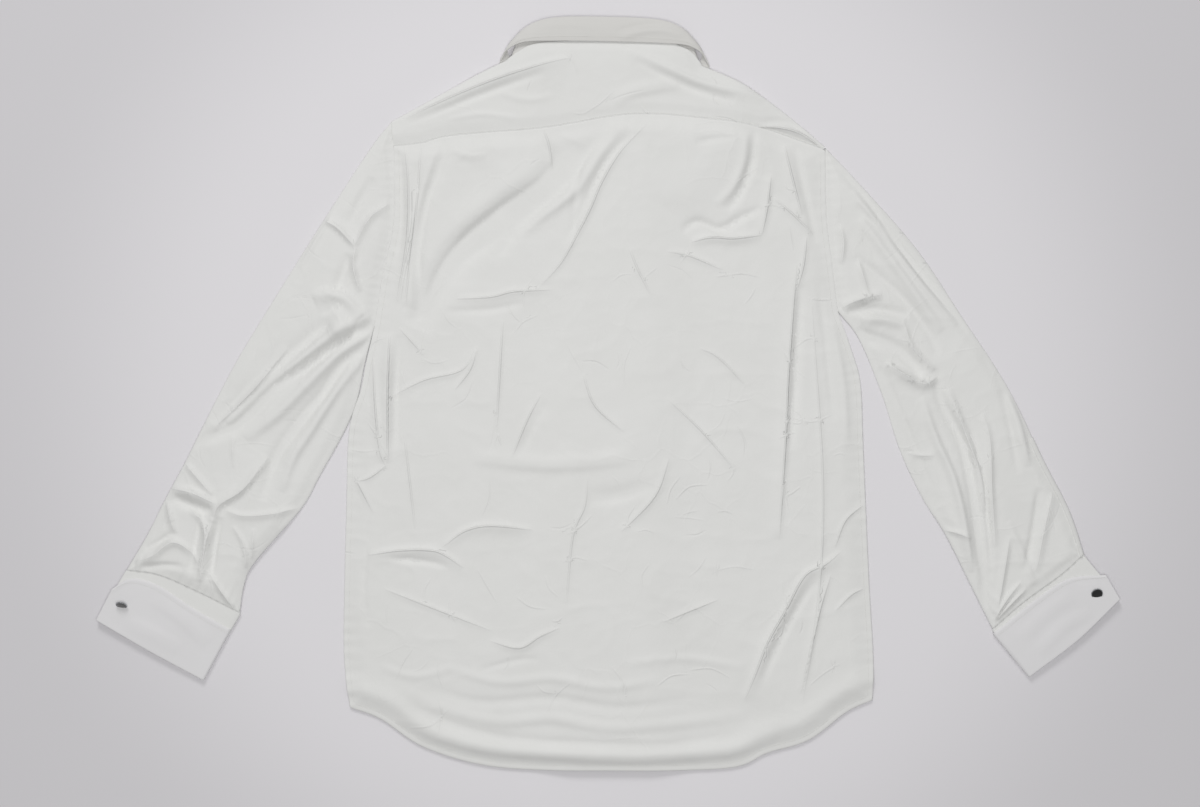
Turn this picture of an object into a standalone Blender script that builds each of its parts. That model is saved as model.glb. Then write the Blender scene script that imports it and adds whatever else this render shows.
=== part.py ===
"""Long sleeve dress shirt with double cuffs, buttoned and lying flat on its front.

Seen from above it shows its back: +Y runs from hem to collar, +Z is up out of the surface it lies on,
and the wearer's left is on -X. Each cut piece is a thin wall of cloth. Tables and plan points are in
millimetres and become metres when a mesh is made.
"""

from collections import namedtuple
from math import cos, exp, hypot, pi, radians, sin

import bmesh
import bpy
from mathutils import Vector

MM = 0.001

# Walls and clearances
CLOTH = 1.0  # wall of a single layer of cloth
BAND = 1.2  # interlined collar stand and cuffs
LEAF = 1.5  # interlined collar leaf
GAP = 0.3  # between pieces that are sewn or lie together
SEAM_GAP = 0.6  # between panels that meet edge to edge
ARMHOLE_GAP_LEFT = 0.9
ARMHOLE_GAP_RIGHT = 2.1

# Front closure
CENTRE_X = 4.0  # centre line of the body
PLACKET_WIDTH = 35.0
PLACKET_WALL = 1.5
BUTTON_RADIUS = 5.6
BUTTON_DEPTH = 2.1
BUTTON_COUNT = 6
BUTTON_FIRST_Y = 236.0
BUTTON_PITCH = 90.0
COLLAR_BUTTON_Y = 320.0
STRIP_FADE = 45.0  # run over which the fronts come down from the buttons to the surface

# Heights above the surface, from the buttons upwards
PLACKET_Z = BUTTON_DEPTH + GAP
RIGHT_FRONT_Z = PLACKET_Z + PLACKET_WALL + GAP + 0.1
BACK_OVER_STRIP_Z = RIGHT_FRONT_Z + CLOTH + 2 * GAP
BACK_Z = CLOTH + 2 * GAP
YOKE_FLAP_DEPTH = 36.0  # how far the yoke reaches round the shoulder to the front
FLAP_NECK_GAP = 5.0
NECK_SEAM_GAP = 1.8

# Sleeve plackets
GAUNTLET_SHARE = 0.26  # of the sleeve's length, up from the cuff
GAUNTLET_LIFT = CLOTH + GAP + 0.3

# Cufflinks
LINK_FACE_RADIUS = 6.4
LINK_FACE_DEPTH = 2.4
LINK_BACK_RADIUS = 5.2
LINK_BACK_DEPTH = 1.6
LINK_POST_RADIUS = 1.1
CUFF_HOLE_WIDTH = 3.2
CUFF_SHARES = [0, 0.08, 0.215, 0.36, 0.52, 0.68, 0.84, 1]  # columns across a cuff; the slot is between the second and third
CUFF_TILT = 2.4  # how much the link's back lifts the cuff's open end
CUFF_REST = 0.05  # height of the cuff's closed end

Fold = namedtuple("Fold", "x1 y1 x2 y2 half_width height")
Station = namedtuple("Station", "x y z")
Finish = namedtuple("Finish", "colour roughness metallic")

FINISHES = {
    "shirting": Finish((0.86, 0.86, 0.84), 0.85, 0.0),
    "interlined_shirting": Finish((0.87, 0.87, 0.86), 0.8, 0.0),
    "shirt_button": Finish((0.85, 0.84, 0.8), 0.3, 0.0),
    "link_metal": Finish((0.55, 0.55, 0.56), 0.25, 1.0),
    "link_enamel": Finish((0.01, 0.01, 0.012), 0.15, 0.0),
}

# Plan outlines, each from its upper or left end
YOKE_SEAM = [(-236, 272), (-205, 275), (-172, 283), (-72, 291), (25, 306), (110, 301), (165, 292), (236, 268)]
SHOULDER_LEFT = [(-238, 299), (-200, 320), (-150, 347.5), (-108, 359.7)]
NECK_BACK = [(-108, 359.7), (-97, 369), (-80, 377.5), (0, 381.5), (70, 379), (88, 370), (98.5, 354)]
SHOULDER_RIGHT = [(98.5, 354), (150, 338), (200, 303), (238, 271)]
ARMHOLE_LEFT = [(-243, 299), (-240, 270), (-236, 225), (-237, 180), (-249, 125), (-257, 74)]
ARMHOLE_RIGHT = [(242, 268), (240, 240), (240, 190), (246, 140), (252, 90)]
SIDE_LEFT = [(-257, 74), (-266, 36), (-272, 5), (-285, -40), (-288, -120), (-291, -262), (-289, -310), (-284, -345)]
SIDE_RIGHT = [(252, 90), (268, 45), (277, 10), (280, -60), (286, -200), (291, -290), (290, -337)]
HEM = [(-284, -345), (-250, -358), (-200, -390), (-120, -411), (0, -414), (130, -412), (175, -395),
       (220, -381), (262, -350), (290, -337)]
HEM_FRONT_RISE = 7.0  # the front tails are this much shorter

SLEEVE_LEFT_OUTER = [(-243, 299), (-262, 269), (-316, 186), (-368, 103), (-412, 30), (-450, -45), (-466, -77),
                     (-488, -118), (-508, -158), (-529, -194)]
SLEEVE_LEFT_INNER = [(-257, 74), (-267, 36), (-281, -22), (-318, -92), (-338, -127), (-388, -185), (-400, -210),
                     (-405, -241)]
CUFF_SEAM_LEFT = [(-529, -194), (-495, -199), (-455, -216), (-405, -241)]
SLEEVE_RIGHT_OUTER = [(242, 268), (280, 226), (340, 157), (388, 85), (438, 8), (478, -75), (505, -128), (521, -177)]
SLEEVE_RIGHT_INNER = [(252, 90), (275, 60), (300, 0), (320, -62), (345, -115), (370, -155), (400, -215), (422, -259)]
CUFF_SEAM_RIGHT = [(521, -177), (497, -199), (455, -230), (422, -259)]

# Double cuffs: the turned-back edge, and the fold that is the end of the arm, from open end to closed side
CUFF_LEFT_EDGE = [(-544, -214), (-524, -203), (-495, -210), (-455, -236), (-417, -258)]
CUFF_LEFT_FOLD = [(-562, -249), (-504, -283), (-447, -314)]
CUFF_RIGHT_EDGE = [(545, -199), (505, -203), (470, -225), (424, -262)]
CUFF_RIGHT_FOLD = [(561, -226), (515, -271), (464, -310)]
LINK_LEFT = (-533, -231)
LINK_RIGHT = (535, -219)

# Front neck and collar
NECK_FRONT_DEPTH = 60.0
NECK_FRONT_Y = 303.0

# The largest folds. Heights are added to the upper layer
BACK_FOLDS = [
    Fold(25, 296, -70, 215, 15, 3.5),
    Fold(-70, 215, -205, 62, 17, 4.5),
    Fold(-60, 270, -150, 150, 15, 3.0),
    Fold(-222, 250, -212, 150, 11, 3.5),
    Fold(-243, 60, -246, -60, 10, 4.5),
    Fold(206, 125, 198, 0, 10, 4.0),
    Fold(198, 0, 190, -160, 9, 3.5),
    Fold(232, 100, 240, -30, 10, 3.0),
    Fold(158, -325, 213, -202, 10, 4.0),
    Fold(213, -202, 252, -178, 9, 3.0),
    Fold(-255, -172, -175, -175, 10, 2.5),
    Fold(-190, -372, -60, -388, 14, 3.5),
    Fold(-60, -388, 140, -384, 14, 4.0),
    Fold(160, 285, 140, 200, 10, 2.5),
]
YOKE_FOLDS = [
    Fold(-215, 304, -60, 362, 12, 2.5),
    Fold(70, 372, 160, 330, 14, 3.5),
    Fold(10, 318, 95, 338, 12, 2.0),
]
SLEEVE_LEFT_FOLDS = [
    Fold(-285, 78, -345, 48, 15, 5.5),
    Fold(-345, 48, -445, -44, 14, 5.0),
    Fold(-262, 60, -320, 38, 12, 4.0),
    Fold(-310, 12, -350, -55, 13, 4.5),
    Fold(-350, -55, -372, -90, 13, 4.5),
    Fold(-372, -90, -428, -122, 13, 5.0),
    Fold(-428, -122, -446, -180, 11, 5.0),
    Fold(-474, -104, -432, -118, 11, 4.0),
    Fold(-282, 170, -270, 120, 13, 4.0),
    Fold(-500, -150, -465, -168, 11, 3.0),
]
SLEEVE_RIGHT_FOLDS = [
    Fold(275, 222, 345, 140, 12, 3.5),
    Fold(345, 140, 392, 82, 12, 3.5),
    Fold(280, 180, 345, 95, 14, 3.5),
    Fold(262, 88, 300, 84, 12, 4.0),
    Fold(325, 70, 358, 22, 13, 5.5),
    Fold(358, 22, 385, -40, 12, 5.0),
    Fold(385, -40, 402, -120, 12, 4.5),
    Fold(402, -120, 412, -215, 11, 4.0),
    Fold(482, -112, 472, -185, 11, 3.5),
]

# Collar, on the wearer's left, from the centre of the back round the side of the neck to the centre front.
# The stand runs between the neck seam and its top edge, the leaf between its fold and its free edge.
# Points are on the faces that look at the neck.
STAND_SEAM = [Station(0, 383.5, 8.0), Station(-55, 383, 7.8), Station(-86, 380, 7.2), Station(-103, 371, 5.8),
              Station(-107.5, 360, 4.2), Station(-101, 344, 3.6), Station(-76, 320, 3.5), Station(-40, 306, 3.5),
              Station(0, 303, 3.5)]
STAND_TOP = [Station(0, 408.5, 4.2), Station(-55, 408, 4.2), Station(-80, 403, 4.3), Station(-97, 390, 4.5),
             Station(-103, 374.5, 4.5), Station(-97, 362, 3.6), Station(-72, 346, 3.5), Station(-38, 336, 3.5),
             Station(0, 333, 3.5)]
LEAF_FOLD = [Station(0, 412, 3.6), Station(-56, 411.5, 3.6), Station(-84, 405, 3.7), Station(-102.5, 390, 3.6),
             Station(-111, 376, 3.0), Station(-101, 359, 1.9), Station(-74, 344, 1.6), Station(-42, 335, 1.55),
             Station(-9, 332, 1.55)]
LEAF_EDGE = [Station(0, 386.5, 13.4), Station(-60, 386, 13.2), Station(-92, 385, 12.6), Station(-108, 378.5, 9.8),
             Station(-116, 369, 5.8), Station(-119.5, 361.5, 2.2), Station(-119, 350, 1.6), Station(-113, 328, 1.55),
             Station(-98, 296, 1.55), Station(-72, 262, 1.55)]
RIGHT_SHARE = 0.925  # how much narrower the collar lies on the wearer's right of its centre
RIGHT_DROP = 0.04  # and how much it drops there for its width
LEAF_ARCH = 3.2  # how far the leaf bows out between fold and edge at the back of the neck
STAND_LAP = 15.0  # how far each end of the stand passes the centre front


def smooth_line(points, steps=6):
    """Points along a Catmull-Rom curve that passes through the given ones."""
    given = [Vector(p) for p in points]
    ends = [2 * given[0] - given[1]] + given + [2 * given[-1] - given[-2]]
    line = [given[0]]
    for a, b, c, d in zip(ends, ends[1:], ends[2:], ends[3:]):
        for k in range(1, steps + 1):
            t = k / steps
            line.append(b + ((c - a) * t + (2 * a - 5 * b + 4 * c - d) * t**2 + (3 * b - a - 3 * c + d) * t**3) / 2)
    return line


def spaced(line, count, shares=None):
    """count points along a line, evenly or at given shares of its length."""
    lengths = [(b - a).length for a, b in zip(line, line[1:])]
    total = sum(lengths)
    found = []
    for share in shares or [k / (count - 1) for k in range(count)]:
        left = total * share
        i = 0
        while i < len(lengths) - 1 and left > lengths[i]:
            left -= lengths[i]
            i += 1
        found.append(line[i].lerp(line[i + 1], left / lengths[i]))
    return found


def moved(points, dx, dy):
    return [(x + dx, y + dy) for x, y in points]


def fade(value):
    """1 at 0 or less, 0 at 1 or more, and smooth between."""
    t = min(max(value, 0.0), 1.0)
    return 1.0 - t * t * (3.0 - 2.0 * t)


def relief(x, y, folds):
    """Height that the folds add at a plan point: each is a soft ridge along a straight run."""
    total = 0.0
    for f in folds:
        dx, dy = f.x2 - f.x1, f.y2 - f.y1
        share = ((x - f.x1) * dx + (y - f.y1) * dy) / (dx * dx + dy * dy)
        near = min(max(share, 0.0), 1.0)
        away = hypot(x - f.x1 - near * dx, y - f.y1 - near * dy)
        total += f.height * exp(-((away / f.half_width) ** 2))
    return total


def strip_share(x):
    """1 over the front closure, 0 where the fronts lie on the surface."""
    return fade((abs(x - CENTRE_X) - PLACKET_WIDTH / 2 - 9) / STRIP_FADE)


def neck_share(x, y):
    """1 over the front of the collar, 0 well away from it."""
    return fade((hypot(x - CENTRE_X, 1.1 * (y - 338)) - 124) / 55)


def left_front_z(x, y):
    return PLACKET_Z * max(strip_share(x), neck_share(x, y))


def right_front_z(x, y):
    return max(RIGHT_FRONT_Z * strip_share(x), left_front_z(x, y))


def over_front_z(x, y):
    """The underside of what lies on the fronts."""
    wide = fade((abs(x - CENTRE_X) - PLACKET_WIDTH / 2 - 18) / (STRIP_FADE + 14))
    neck = fade((hypot(x - CENTRE_X, 1.1 * (y - 338)) - 136) / 64)
    return BACK_Z + (BACK_OVER_STRIP_Z - BACK_Z) * max(wide, neck)


def back_z(x, y):
    return over_front_z(x, y) + relief(x, y, BACK_FOLDS)


def yoke_z(x, y):
    """The yoke climbs to the neck seam, over the stiff collar."""
    climb = 2.6 * fade((368 - y) / 45) * fade((abs(x) - 70) / 35)
    return over_front_z(x, y) + climb + relief(x, y, YOKE_FOLDS)


def blended(bottom, top, left, right, columns, rows, shares=None):
    """A grid of plan points between four edges: bottom and top run left to right, left and right run upwards."""
    b, t = spaced(bottom, columns + 1, shares), spaced(top, columns + 1, shares)
    lo, hi = spaced(left, rows + 1), spaced(right, rows + 1)
    grid = []
    for j in range(rows + 1):
        v = j / rows
        line = []
        for i in range(columns + 1):
            u = shares[i] if shares else i / columns
            corners = (b[0] * (1 - u) + b[-1] * u) * (1 - v) + (t[0] * (1 - u) + t[-1] * u) * v
            line.append(b[i] * (1 - v) + t[i] * v + lo[j] * (1 - u) + hi[j] * u - corners)
        grid.append(line)
    return grid


def raised(grid, height):
    return [[Vector((p.x, p.y, height(p.x, p.y))) for p in line] for line in grid]


def finish_material(name):
    material = bpy.data.materials.get(name)
    if material is None:
        finish = FINISHES[name]
        material = bpy.data.materials.new(name)
        material.use_nodes = True
        shader = material.node_tree.nodes["Principled BSDF"]
        shader.inputs["Base Color"].default_value = (*finish.colour, 1.0)
        shader.inputs["Roughness"].default_value = finish.roughness
        shader.inputs["Metallic"].default_value = finish.metallic
    return material


def new_object(name, mesh, finish, collection):
    obj = bpy.data.objects.new(name, mesh)
    mesh.materials.append(finish_material(finish))
    collection.objects.link(obj)
    return obj


def sheet_of(name, grids, wall, finish, collection, ring=False, even=True, open_at=()):
    """Cloth through grids of points that share their meeting points, thickened on the side its faces look to.
    A ring closes each line of points on itself. Faces named by row and column in open_at are left out."""
    work = bmesh.new()
    for grid in grids:
        rows = [[work.verts.new(p * MM) for p in line] for line in grid]
        for j, (low, high) in enumerate(zip(rows, rows[1:])):
            count = len(low) if ring else len(low) - 1
            for i in range(count):
                k = (i + 1) % len(low)
                if (j, i) not in open_at:
                    work.faces.new((low[i], low[k], high[k], high[i]))
    bmesh.ops.remove_doubles(work, verts=work.verts, dist=0.00002)
    mesh = bpy.data.meshes.new(name)
    work.to_mesh(mesh)
    work.free()
    obj = new_object(name, mesh, finish, collection)
    solid = obj.modifiers.new("Wall", "SOLIDIFY")
    solid.thickness = wall * MM
    solid.offset = 1.0
    solid.use_even_offset = even
    return obj


def make_back(collection):
    """The back, below the yoke, with its curved tail."""
    bottom = smooth_line(HEM)
    top = smooth_line(moved(YOKE_SEAM, 0, -SEAM_GAP))
    left = smooth_line([*reversed(SIDE_LEFT)])[:-1] + smooth_line([*reversed(ARMHOLE_LEFT[1:])])
    right = smooth_line([*reversed(SIDE_RIGHT)])[:-1] + smooth_line([*reversed(ARMHOLE_RIGHT)])
    left[-1], right[-1] = top[0], top[-1]
    grid = blended(bottom, top, left, right, columns=24, rows=26)
    sheet_of("back_panel", [raised(grid, back_z)], CLOTH, "shirting", collection)


def make_yoke(collection):
    """The yoke: its upper layer from the back seam to shoulders and neck, and its turns round to the front."""
    shoulder, neck = 6, 12
    left, right = smooth_line(SHOULDER_LEFT), smooth_line(SHOULDER_RIGHT)
    top = spaced(left, shoulder + 1) + spaced(smooth_line(NECK_BACK), neck + 1)[1:] + spaced(right, shoulder + 1)[1:]
    bottom = spaced(smooth_line(YOKE_SEAM), len(top))
    rows = 5
    grid = [[b.lerp(t, j / rows) for b, t in zip(bottom, top)] for j in range(rows + 1)]
    upper = raised(grid, yoke_z)
    flaps = []
    for first, last in ((0, shoulder + 1), (shoulder + neck, len(top))):
        fold_line = upper[-1][first:last]
        along = (fold_line[-1] - fold_line[0]).xy.normalized()
        inward = Vector((along.y, -along.x))
        from_neck = along * (-FLAP_NECK_GAP if first == 0 else FLAP_NECK_GAP)
        flap = [fold_line]
        for k in range(3):
            step = inward * (YOKE_FLAP_DEPTH * k / 2)
            line = [p.xy + step for p in fold_line]
            count = len(line) - 1
            shares = [i / count if first == 0 else 1 - i / count for i in range(count + 1)]
            line = [q + from_neck * min(k, 1) * w**2 for q, w in zip(line, shares)]
            flap.append([Vector((q.x, q.y, left_front_z(q.x, q.y) + CLOTH + 0.08)) for q in line])
        flaps.append(flap)
    sheet_of("yoke", [upper, *flaps], CLOTH, "shirting", collection)


def shoulder_seam(points):
    """Where a front joins the yoke: the shoulder line, moved down the front."""
    a, b = Vector(points[0]), Vector(points[-1])
    along = (b - a).normalized()
    inward = Vector((along.y, -along.x)) * (YOKE_FLAP_DEPTH + 1.8)
    return [Vector(p) + inward for p in points]


def placed(station, side):
    """A collar station on the wearer's left (-1) or right (1)."""
    if side < 0:
        return Vector(station)
    return Vector((-station.x * RIGHT_SHARE, station.y + station.x * RIGHT_DROP, station.z))


def neck_front(side):
    """The front neckline, from below the shoulder seam to the centre front."""
    spots = [placed(s, side) for s in STAND_SEAM if s.y < 325]
    return [(p.x + side * 0.5, p.y - NECK_SEAM_GAP) for p in spots]


def make_fronts(collection):
    """The two fronts and the placket down the left one, under the back."""
    rows = 16
    shares = [0, 0.16, 0.32, 0.47, 0.61, 0.73, 0.83, 0.91, 1]
    edge = CENTRE_X - PLACKET_WIDTH / 2 - GAP
    hem = smooth_line(moved(HEM, 0, HEM_FRONT_RISE))
    centre = min(range(len(hem)), key=lambda i: abs(hem[i].x - edge))
    for name, side, armhole, sides, shoulder, height in (
        ("front_left", -1, ARMHOLE_LEFT, SIDE_LEFT, SHOULDER_LEFT, left_front_z),
        ("front_right", 1, ARMHOLE_RIGHT, SIDE_RIGHT, SHOULDER_RIGHT, right_front_z),
    ):
        seam = shoulder_seam(shoulder)
        seam = seam if side < 0 else seam[::-1]
        tip = seam[0]
        neck = neck_front(side)
        inner = edge if side < 0 else CENTRE_X - PLACKET_WIDTH / 2 + 4
        neck = [p for p in neck if side * p[0] > side * inner + 8] + [(inner, NECK_FRONT_Y - 1.0)]
        top = smooth_line(seam)[:-1] + smooth_line([seam[-1].xy, *neck])
        start = [p for p in hem if side * (p.x - inner) > 2]
        start = start if side < 0 else start[::-1]
        bottom = start + [Vector((inner, hem[centre].y))]
        outer_side = smooth_line([*reversed(moved(sides, 0, 0))])
        outer_side[0] = bottom[0]
        arm = [p for p in smooth_line([*reversed(armhole)]) if p.y < tip.y - 4]
        outside = outer_side[:-1] + arm + [tip.xy]
        middle = [Vector((inner, bottom[-1].y)), Vector((inner, NECK_FRONT_Y - 1.0))]
        if side < 0:
            grid = blended(bottom, top, outside, middle, columns=8, rows=rows, shares=shares)
        else:
            shares = [1 - share for share in reversed(shares)]
            grid = blended(bottom[::-1], top[::-1], middle, outside, columns=8, rows=rows, shares=shares)
        sheet_of(name, [raised(grid, height)], CLOTH, "shirting", collection)
    low, high = hem[centre].y + 1.0, NECK_FRONT_Y - 1.5
    columns = [CENTRE_X - PLACKET_WIDTH / 2, CENTRE_X + PLACKET_WIDTH / 2]
    lines = [[Vector((x, low + (high - low) * k / rows, PLACKET_Z)) for x in columns] for k in range(rows + 1)]
    sheet_of("front_placket", [lines], PLACKET_WALL, "interlined_shirting", collection)


def sleeve_rings(outer, inner, armhole, cuff_seam, folds, shift, columns, rows):
    """Rings of a flattened sleeve, from the armhole to the cuff, on the inner face of the cloth."""
    last = len(armhole) - 1
    start = smooth_line([(x + shift * (1 + 0.7 * k / last), y) for k, (x, y) in enumerate(armhole)])
    outside = smooth_line([(x + shift, y) for x, y in outer])
    inside = smooth_line([(x + 1.7 * shift, y) for x, y in inner])
    end = smooth_line([*cuff_seam])
    outside[-1], inside[-1] = end[0], end[-1]
    grid = blended(start, end, outside, inside, columns, rows)
    rings = []
    for j, line in enumerate(grid):
        near_cuff = fade((1 - j / rows) / 0.12)
        near_body = fade((j / rows) / 0.15)
        over_placket = fade((1 - j / rows - GAUNTLET_SHARE - 0.03) / 0.12)
        tilt = [CUFF_TILT * (1 - i / columns) * near_cuff for i in range(columns + 1)]
        low = [CLOTH + 0.05 + GAUNTLET_LIFT * over_placket + t for t in tilt]
        upper, lower = [], []
        for i, (p, base) in enumerate(zip(line, low)):
            across = 4 * (i / columns) * (1 - i / columns)
            lift = relief(p.x, p.y, folds) * min(1.0, 2.2 * across) * (1 - 0.8 * near_cuff) * (1 - 0.4 * near_body)
            upper.append(Vector((p.x, p.y, base + GAP + 1.2 * across + lift)))
            lower.append(Vector((p.x, p.y, base)))
        rings.append(upper + lower[::-1])
    return rings


def outset(rings, distance):
    """The points of a closed loft moved out, square to its faces."""
    work = bmesh.new()
    rows = [[work.verts.new(p) for p in ring] for ring in rings]
    for low, high in zip(rows, rows[1:]):
        for i in range(len(low)):
            k = (i + 1) % len(low)
            work.faces.new((low[i], low[k], high[k], high[i]))
    work.normal_update()
    moved_rows = [[v.co + v.normal * distance * min(v.calc_shell_factor(), 1.8) for v in row] for row in rows]
    work.free()
    return moved_rows


def make_sleeves(collection):
    columns, rows = 9, 22
    left = sleeve_rings(SLEEVE_LEFT_OUTER, SLEEVE_LEFT_INNER, ARMHOLE_LEFT, CUFF_SEAM_LEFT, SLEEVE_LEFT_FOLDS,
                        -ARMHOLE_GAP_LEFT, columns, rows)
    right = sleeve_rings(SLEEVE_RIGHT_OUTER, SLEEVE_RIGHT_INNER, ARMHOLE_RIGHT, CUFF_SEAM_RIGHT, SLEEVE_RIGHT_FOLDS,
                         ARMHOLE_GAP_RIGHT, columns, rows)
    left = [ring[::-1] for ring in left]
    first = rows - int(rows * GAUNTLET_SHARE)
    # The left placket lies wholly on the underside; the right one turns round the edge and shows a little on top.
    for name, rings, strip in (("left", left, range(1, 4)), ("right", right, range(-2, 2))):
        sheet_of("sleeve_" + name, [rings], CLOTH, "shirting", collection, ring=True, even=False)
        outside = outset(rings, CLOTH + 2 * GAP)
        picked = [[outside[j][k % len(outside[j])] for k in strip] for j in range(first, rows + 1)]
        picked[-1] = [a.lerp(b, 0.9) for a, b in zip(picked[-2], picked[-1])]
        if name == "right":
            for line in picked:
                line[-1] = line[-2].lerp(line[-1], 0.4)
        sheet_of("sleeve_placket_" + name, [picked], CLOTH, "shirting", collection, even=False)


def slot_line(start, end, link, across, away):
    """The points between two lines that lie on a straight line beside the link, square to the arm."""
    side = Vector((-across.y, across.x))
    found = []
    for p, q in zip(start, end):
        whole = (q - p).dot(side)
        share = (away - (p - Vector(link)).dot(side)) / whole
        found.append(p.lerp(q, share))
    return found


def cuff_grid(seam, fold, edge, link, side):
    """A double cuff: lines round the wrist from the turned-back edge, over the fold, to the sleeve seam, each
    passing through the upper half, round the closed side and back through the lower half. The faces between the
    second and third lines of each layer, in the second column, are where the link's slot is left open."""
    columns = len(CUFF_SHARES) - 1
    seam_line, fold_line, edge_line = (spaced(smooth_line(line), columns + 1, CUFF_SHARES) for line in (seam, fold, edge))
    down = (fold_line[3] - seam_line[3]).normalized()
    seam_line = [p + down * SEAM_GAP for p in seam_line]
    across = fold_line[-1] - fold_line[0]
    width = across.length
    across.normalize()
    half = CUFF_HOLE_WIDTH / 2 * (1 if down.dot(Vector((-across.y, across.x))) < 0 else -1)
    base_low = BAND + GAP
    base_high = base_low + 2 * BAND + GAP
    outer = (BAND, base_high + GAP, GAP)
    base = (base_low, base_high, 0.0)
    lines = []
    for plan, (low, high, out) in (
        (edge_line, outer),
        (slot_line(edge_line, fold_line, link, across, half), outer),
        (slot_line(edge_line, fold_line, link, across, -half), outer),
        (fold_line, outer),
        (fold_line, base),
        (slot_line(seam_line, fold_line, link, across, -half), base),
        (slot_line(seam_line, fold_line, link, across, half), base),
        (seam_line, base),
    ):
        tilt = [CUFF_REST + CUFF_TILT * (1 - (p - fold_line[0]).dot(across) / width) for p in plan]
        closed = [p.copy() for p in plan]
        closed[-1] += across * out
        upper = [Vector((p.x, p.y, high + t)) for p, t in zip(closed, tilt)]
        lower = [Vector((p.x, p.y, low + t)) for p, t in zip(closed, tilt)]
        lines.append(upper + lower[::-1])
    return lines if side < 0 else [line[::-1] for line in lines]


def turned(name, profile, centre, base, finish, collection, sides=24):
    """A round solid from (radius, height) points, bottom to top, standing at a plan point."""
    work = bmesh.new()
    rings = []
    for radius, height in profile:
        ring = []
        for k in range(sides):
            angle = 2 * pi * k / sides
            place = (centre[0] + radius * cos(angle), centre[1] + radius * sin(angle), base + height)
            ring.append(work.verts.new(Vector(place) * MM))
        rings.append(ring)
    for low, high in zip(rings, rings[1:]):
        for i in range(sides):
            k = (i + 1) % sides
            work.faces.new((low[i], low[k], high[k], high[i]))
    work.faces.new(rings[0][::-1])
    work.faces.new(rings[-1])
    mesh = bpy.data.meshes.new(name)
    work.to_mesh(mesh)
    work.free()
    mesh.shade_smooth()
    mesh.set_sharp_from_angle(angle=radians(35))
    return new_object(name, mesh, finish, collection)


def make_cuffs(collection):
    """Both double cuffs, with their link holes and links."""
    stack = 4 * BAND + 3 * GAP
    for name, seam, fold, edge, link, side in (
        ("left", CUFF_SEAM_LEFT, CUFF_LEFT_FOLD, CUFF_LEFT_EDGE, LINK_LEFT, 1),
        ("right", CUFF_SEAM_RIGHT, CUFF_RIGHT_FOLD, CUFF_RIGHT_EDGE, LINK_RIGHT, -1),
    ):
        grid = cuff_grid(seam, fold, edge, link, side)
        slots = {(row, column) for row in (1, 5) for column in (1, 2 * len(CUFF_SHARES) - 3)}
        sheet_of("cuff_" + name, [grid], BAND, "interlined_shirting", collection, open_at=slots)
        across = Vector(fold[-1]) - Vector(fold[0])
        from_open_end = (Vector(link) - Vector(fold[0])).dot(across) / across.length_squared
        lift = CUFF_TILT * (1 - from_open_end)
        top = stack + lift + 0.45
        turned("cufflink_" + name + "_body", [
            (LINK_BACK_RADIUS - 0.5, 0.0), (LINK_BACK_RADIUS, 0.4), (LINK_BACK_RADIUS, LINK_BACK_DEPTH - 0.4),
            (LINK_BACK_RADIUS - 0.5, LINK_BACK_DEPTH), (LINK_POST_RADIUS, LINK_BACK_DEPTH), (LINK_POST_RADIUS, top),
            (LINK_FACE_RADIUS - 0.6, top), (LINK_FACE_RADIUS, top + 0.4), (LINK_FACE_RADIUS, top + 1.4),
            (LINK_FACE_RADIUS - 0.7, top + 1.4),
        ], link, 0.0, "link_metal", collection)
        turned("cufflink_" + name + "_face", [
            (LINK_FACE_RADIUS - 1.0, 0.0), (LINK_FACE_RADIUS - 0.8, 0.4), (LINK_FACE_RADIUS - 2.6, 0.9),
        ], link, top + 1.4 + GAP, "link_enamel", collection)


def mirrored(stations, side, lap=0.0, lift=0.0):
    """Stations for one side of the collar. The far end may pass the centre front by a lap, lifted over the other."""
    rows = [placed(s, side) for s in stations]
    if lap:
        rows[-1].z += lift
        rows[-2].z += lift * 0.8
        rows[-3].z += lift * 0.2
        rows.append(Vector((CENTRE_X - side * lap, rows[-1].y, rows[-1].z)))
        rows[-2].x = CENTRE_X + side * 12
    return rows


def make_collar(collection):
    """Stand and leaf, each one band from the left front, round the back of the neck, to the right front."""
    count = 15
    lines = []
    for stations in (STAND_SEAM, STAND_TOP):
        left = mirrored(stations, -1, STAND_LAP)
        right = mirrored(stations, 1, STAND_LAP, CLOTH + 2 * GAP)
        lines.append(spaced(smooth_line(left[:0:-1] + right), 2 * count + 1))
    middle = [a.lerp(b, 0.5) for a, b in zip(*lines)]
    sheet_of("collar_stand", [[lines[0], middle, lines[1]]], CLOTH, "interlined_shirting", collection, even=False)

    lines = []
    for stations in (LEAF_FOLD, LEAF_EDGE):
        left, right = mirrored(stations, -1), mirrored(stations, 1)
        lines.append(spaced(smooth_line(left[:0:-1] + right), 2 * count + 1))
    fold, edge = lines
    rows = 5
    grid = []
    for j in range(rows + 1):
        w = j / rows
        line = []
        for a, b in zip(fold, edge):
            at_back = fade((394 - a.y) / 22)
            arch = LEAF_ARCH * at_back * 4 * w * (1 - w)
            line.append(a.lerp(b, w) + Vector((0, 0.55 * arch, arch)))
        grid.append(line[::-1])
    sheet_of("collar_leaf", [grid], LEAF, "interlined_shirting", collection, even=False)


def make_buttons(collection):
    """Shirt buttons on the placket and one on the collar stand. They face down, and the shirt lies on them."""
    places = [("collar_button", COLLAR_BUTTON_Y)]
    places += [(f"front_button_{k + 1}", BUTTON_FIRST_Y - BUTTON_PITCH * k) for k in range(BUTTON_COUNT)]
    for name, y in places:
        r = BUTTON_RADIUS
        turned(name, [(r - 1.6, 0.6), (r - 1.0, 0.0), (r - 0.4, 0.0), (r, 0.5), (r, BUTTON_DEPTH - 0.6),
                      (r - 0.9, BUTTON_DEPTH)], (CENTRE_X, y), 0.0, "shirt_button", collection, sides=20)


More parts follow.
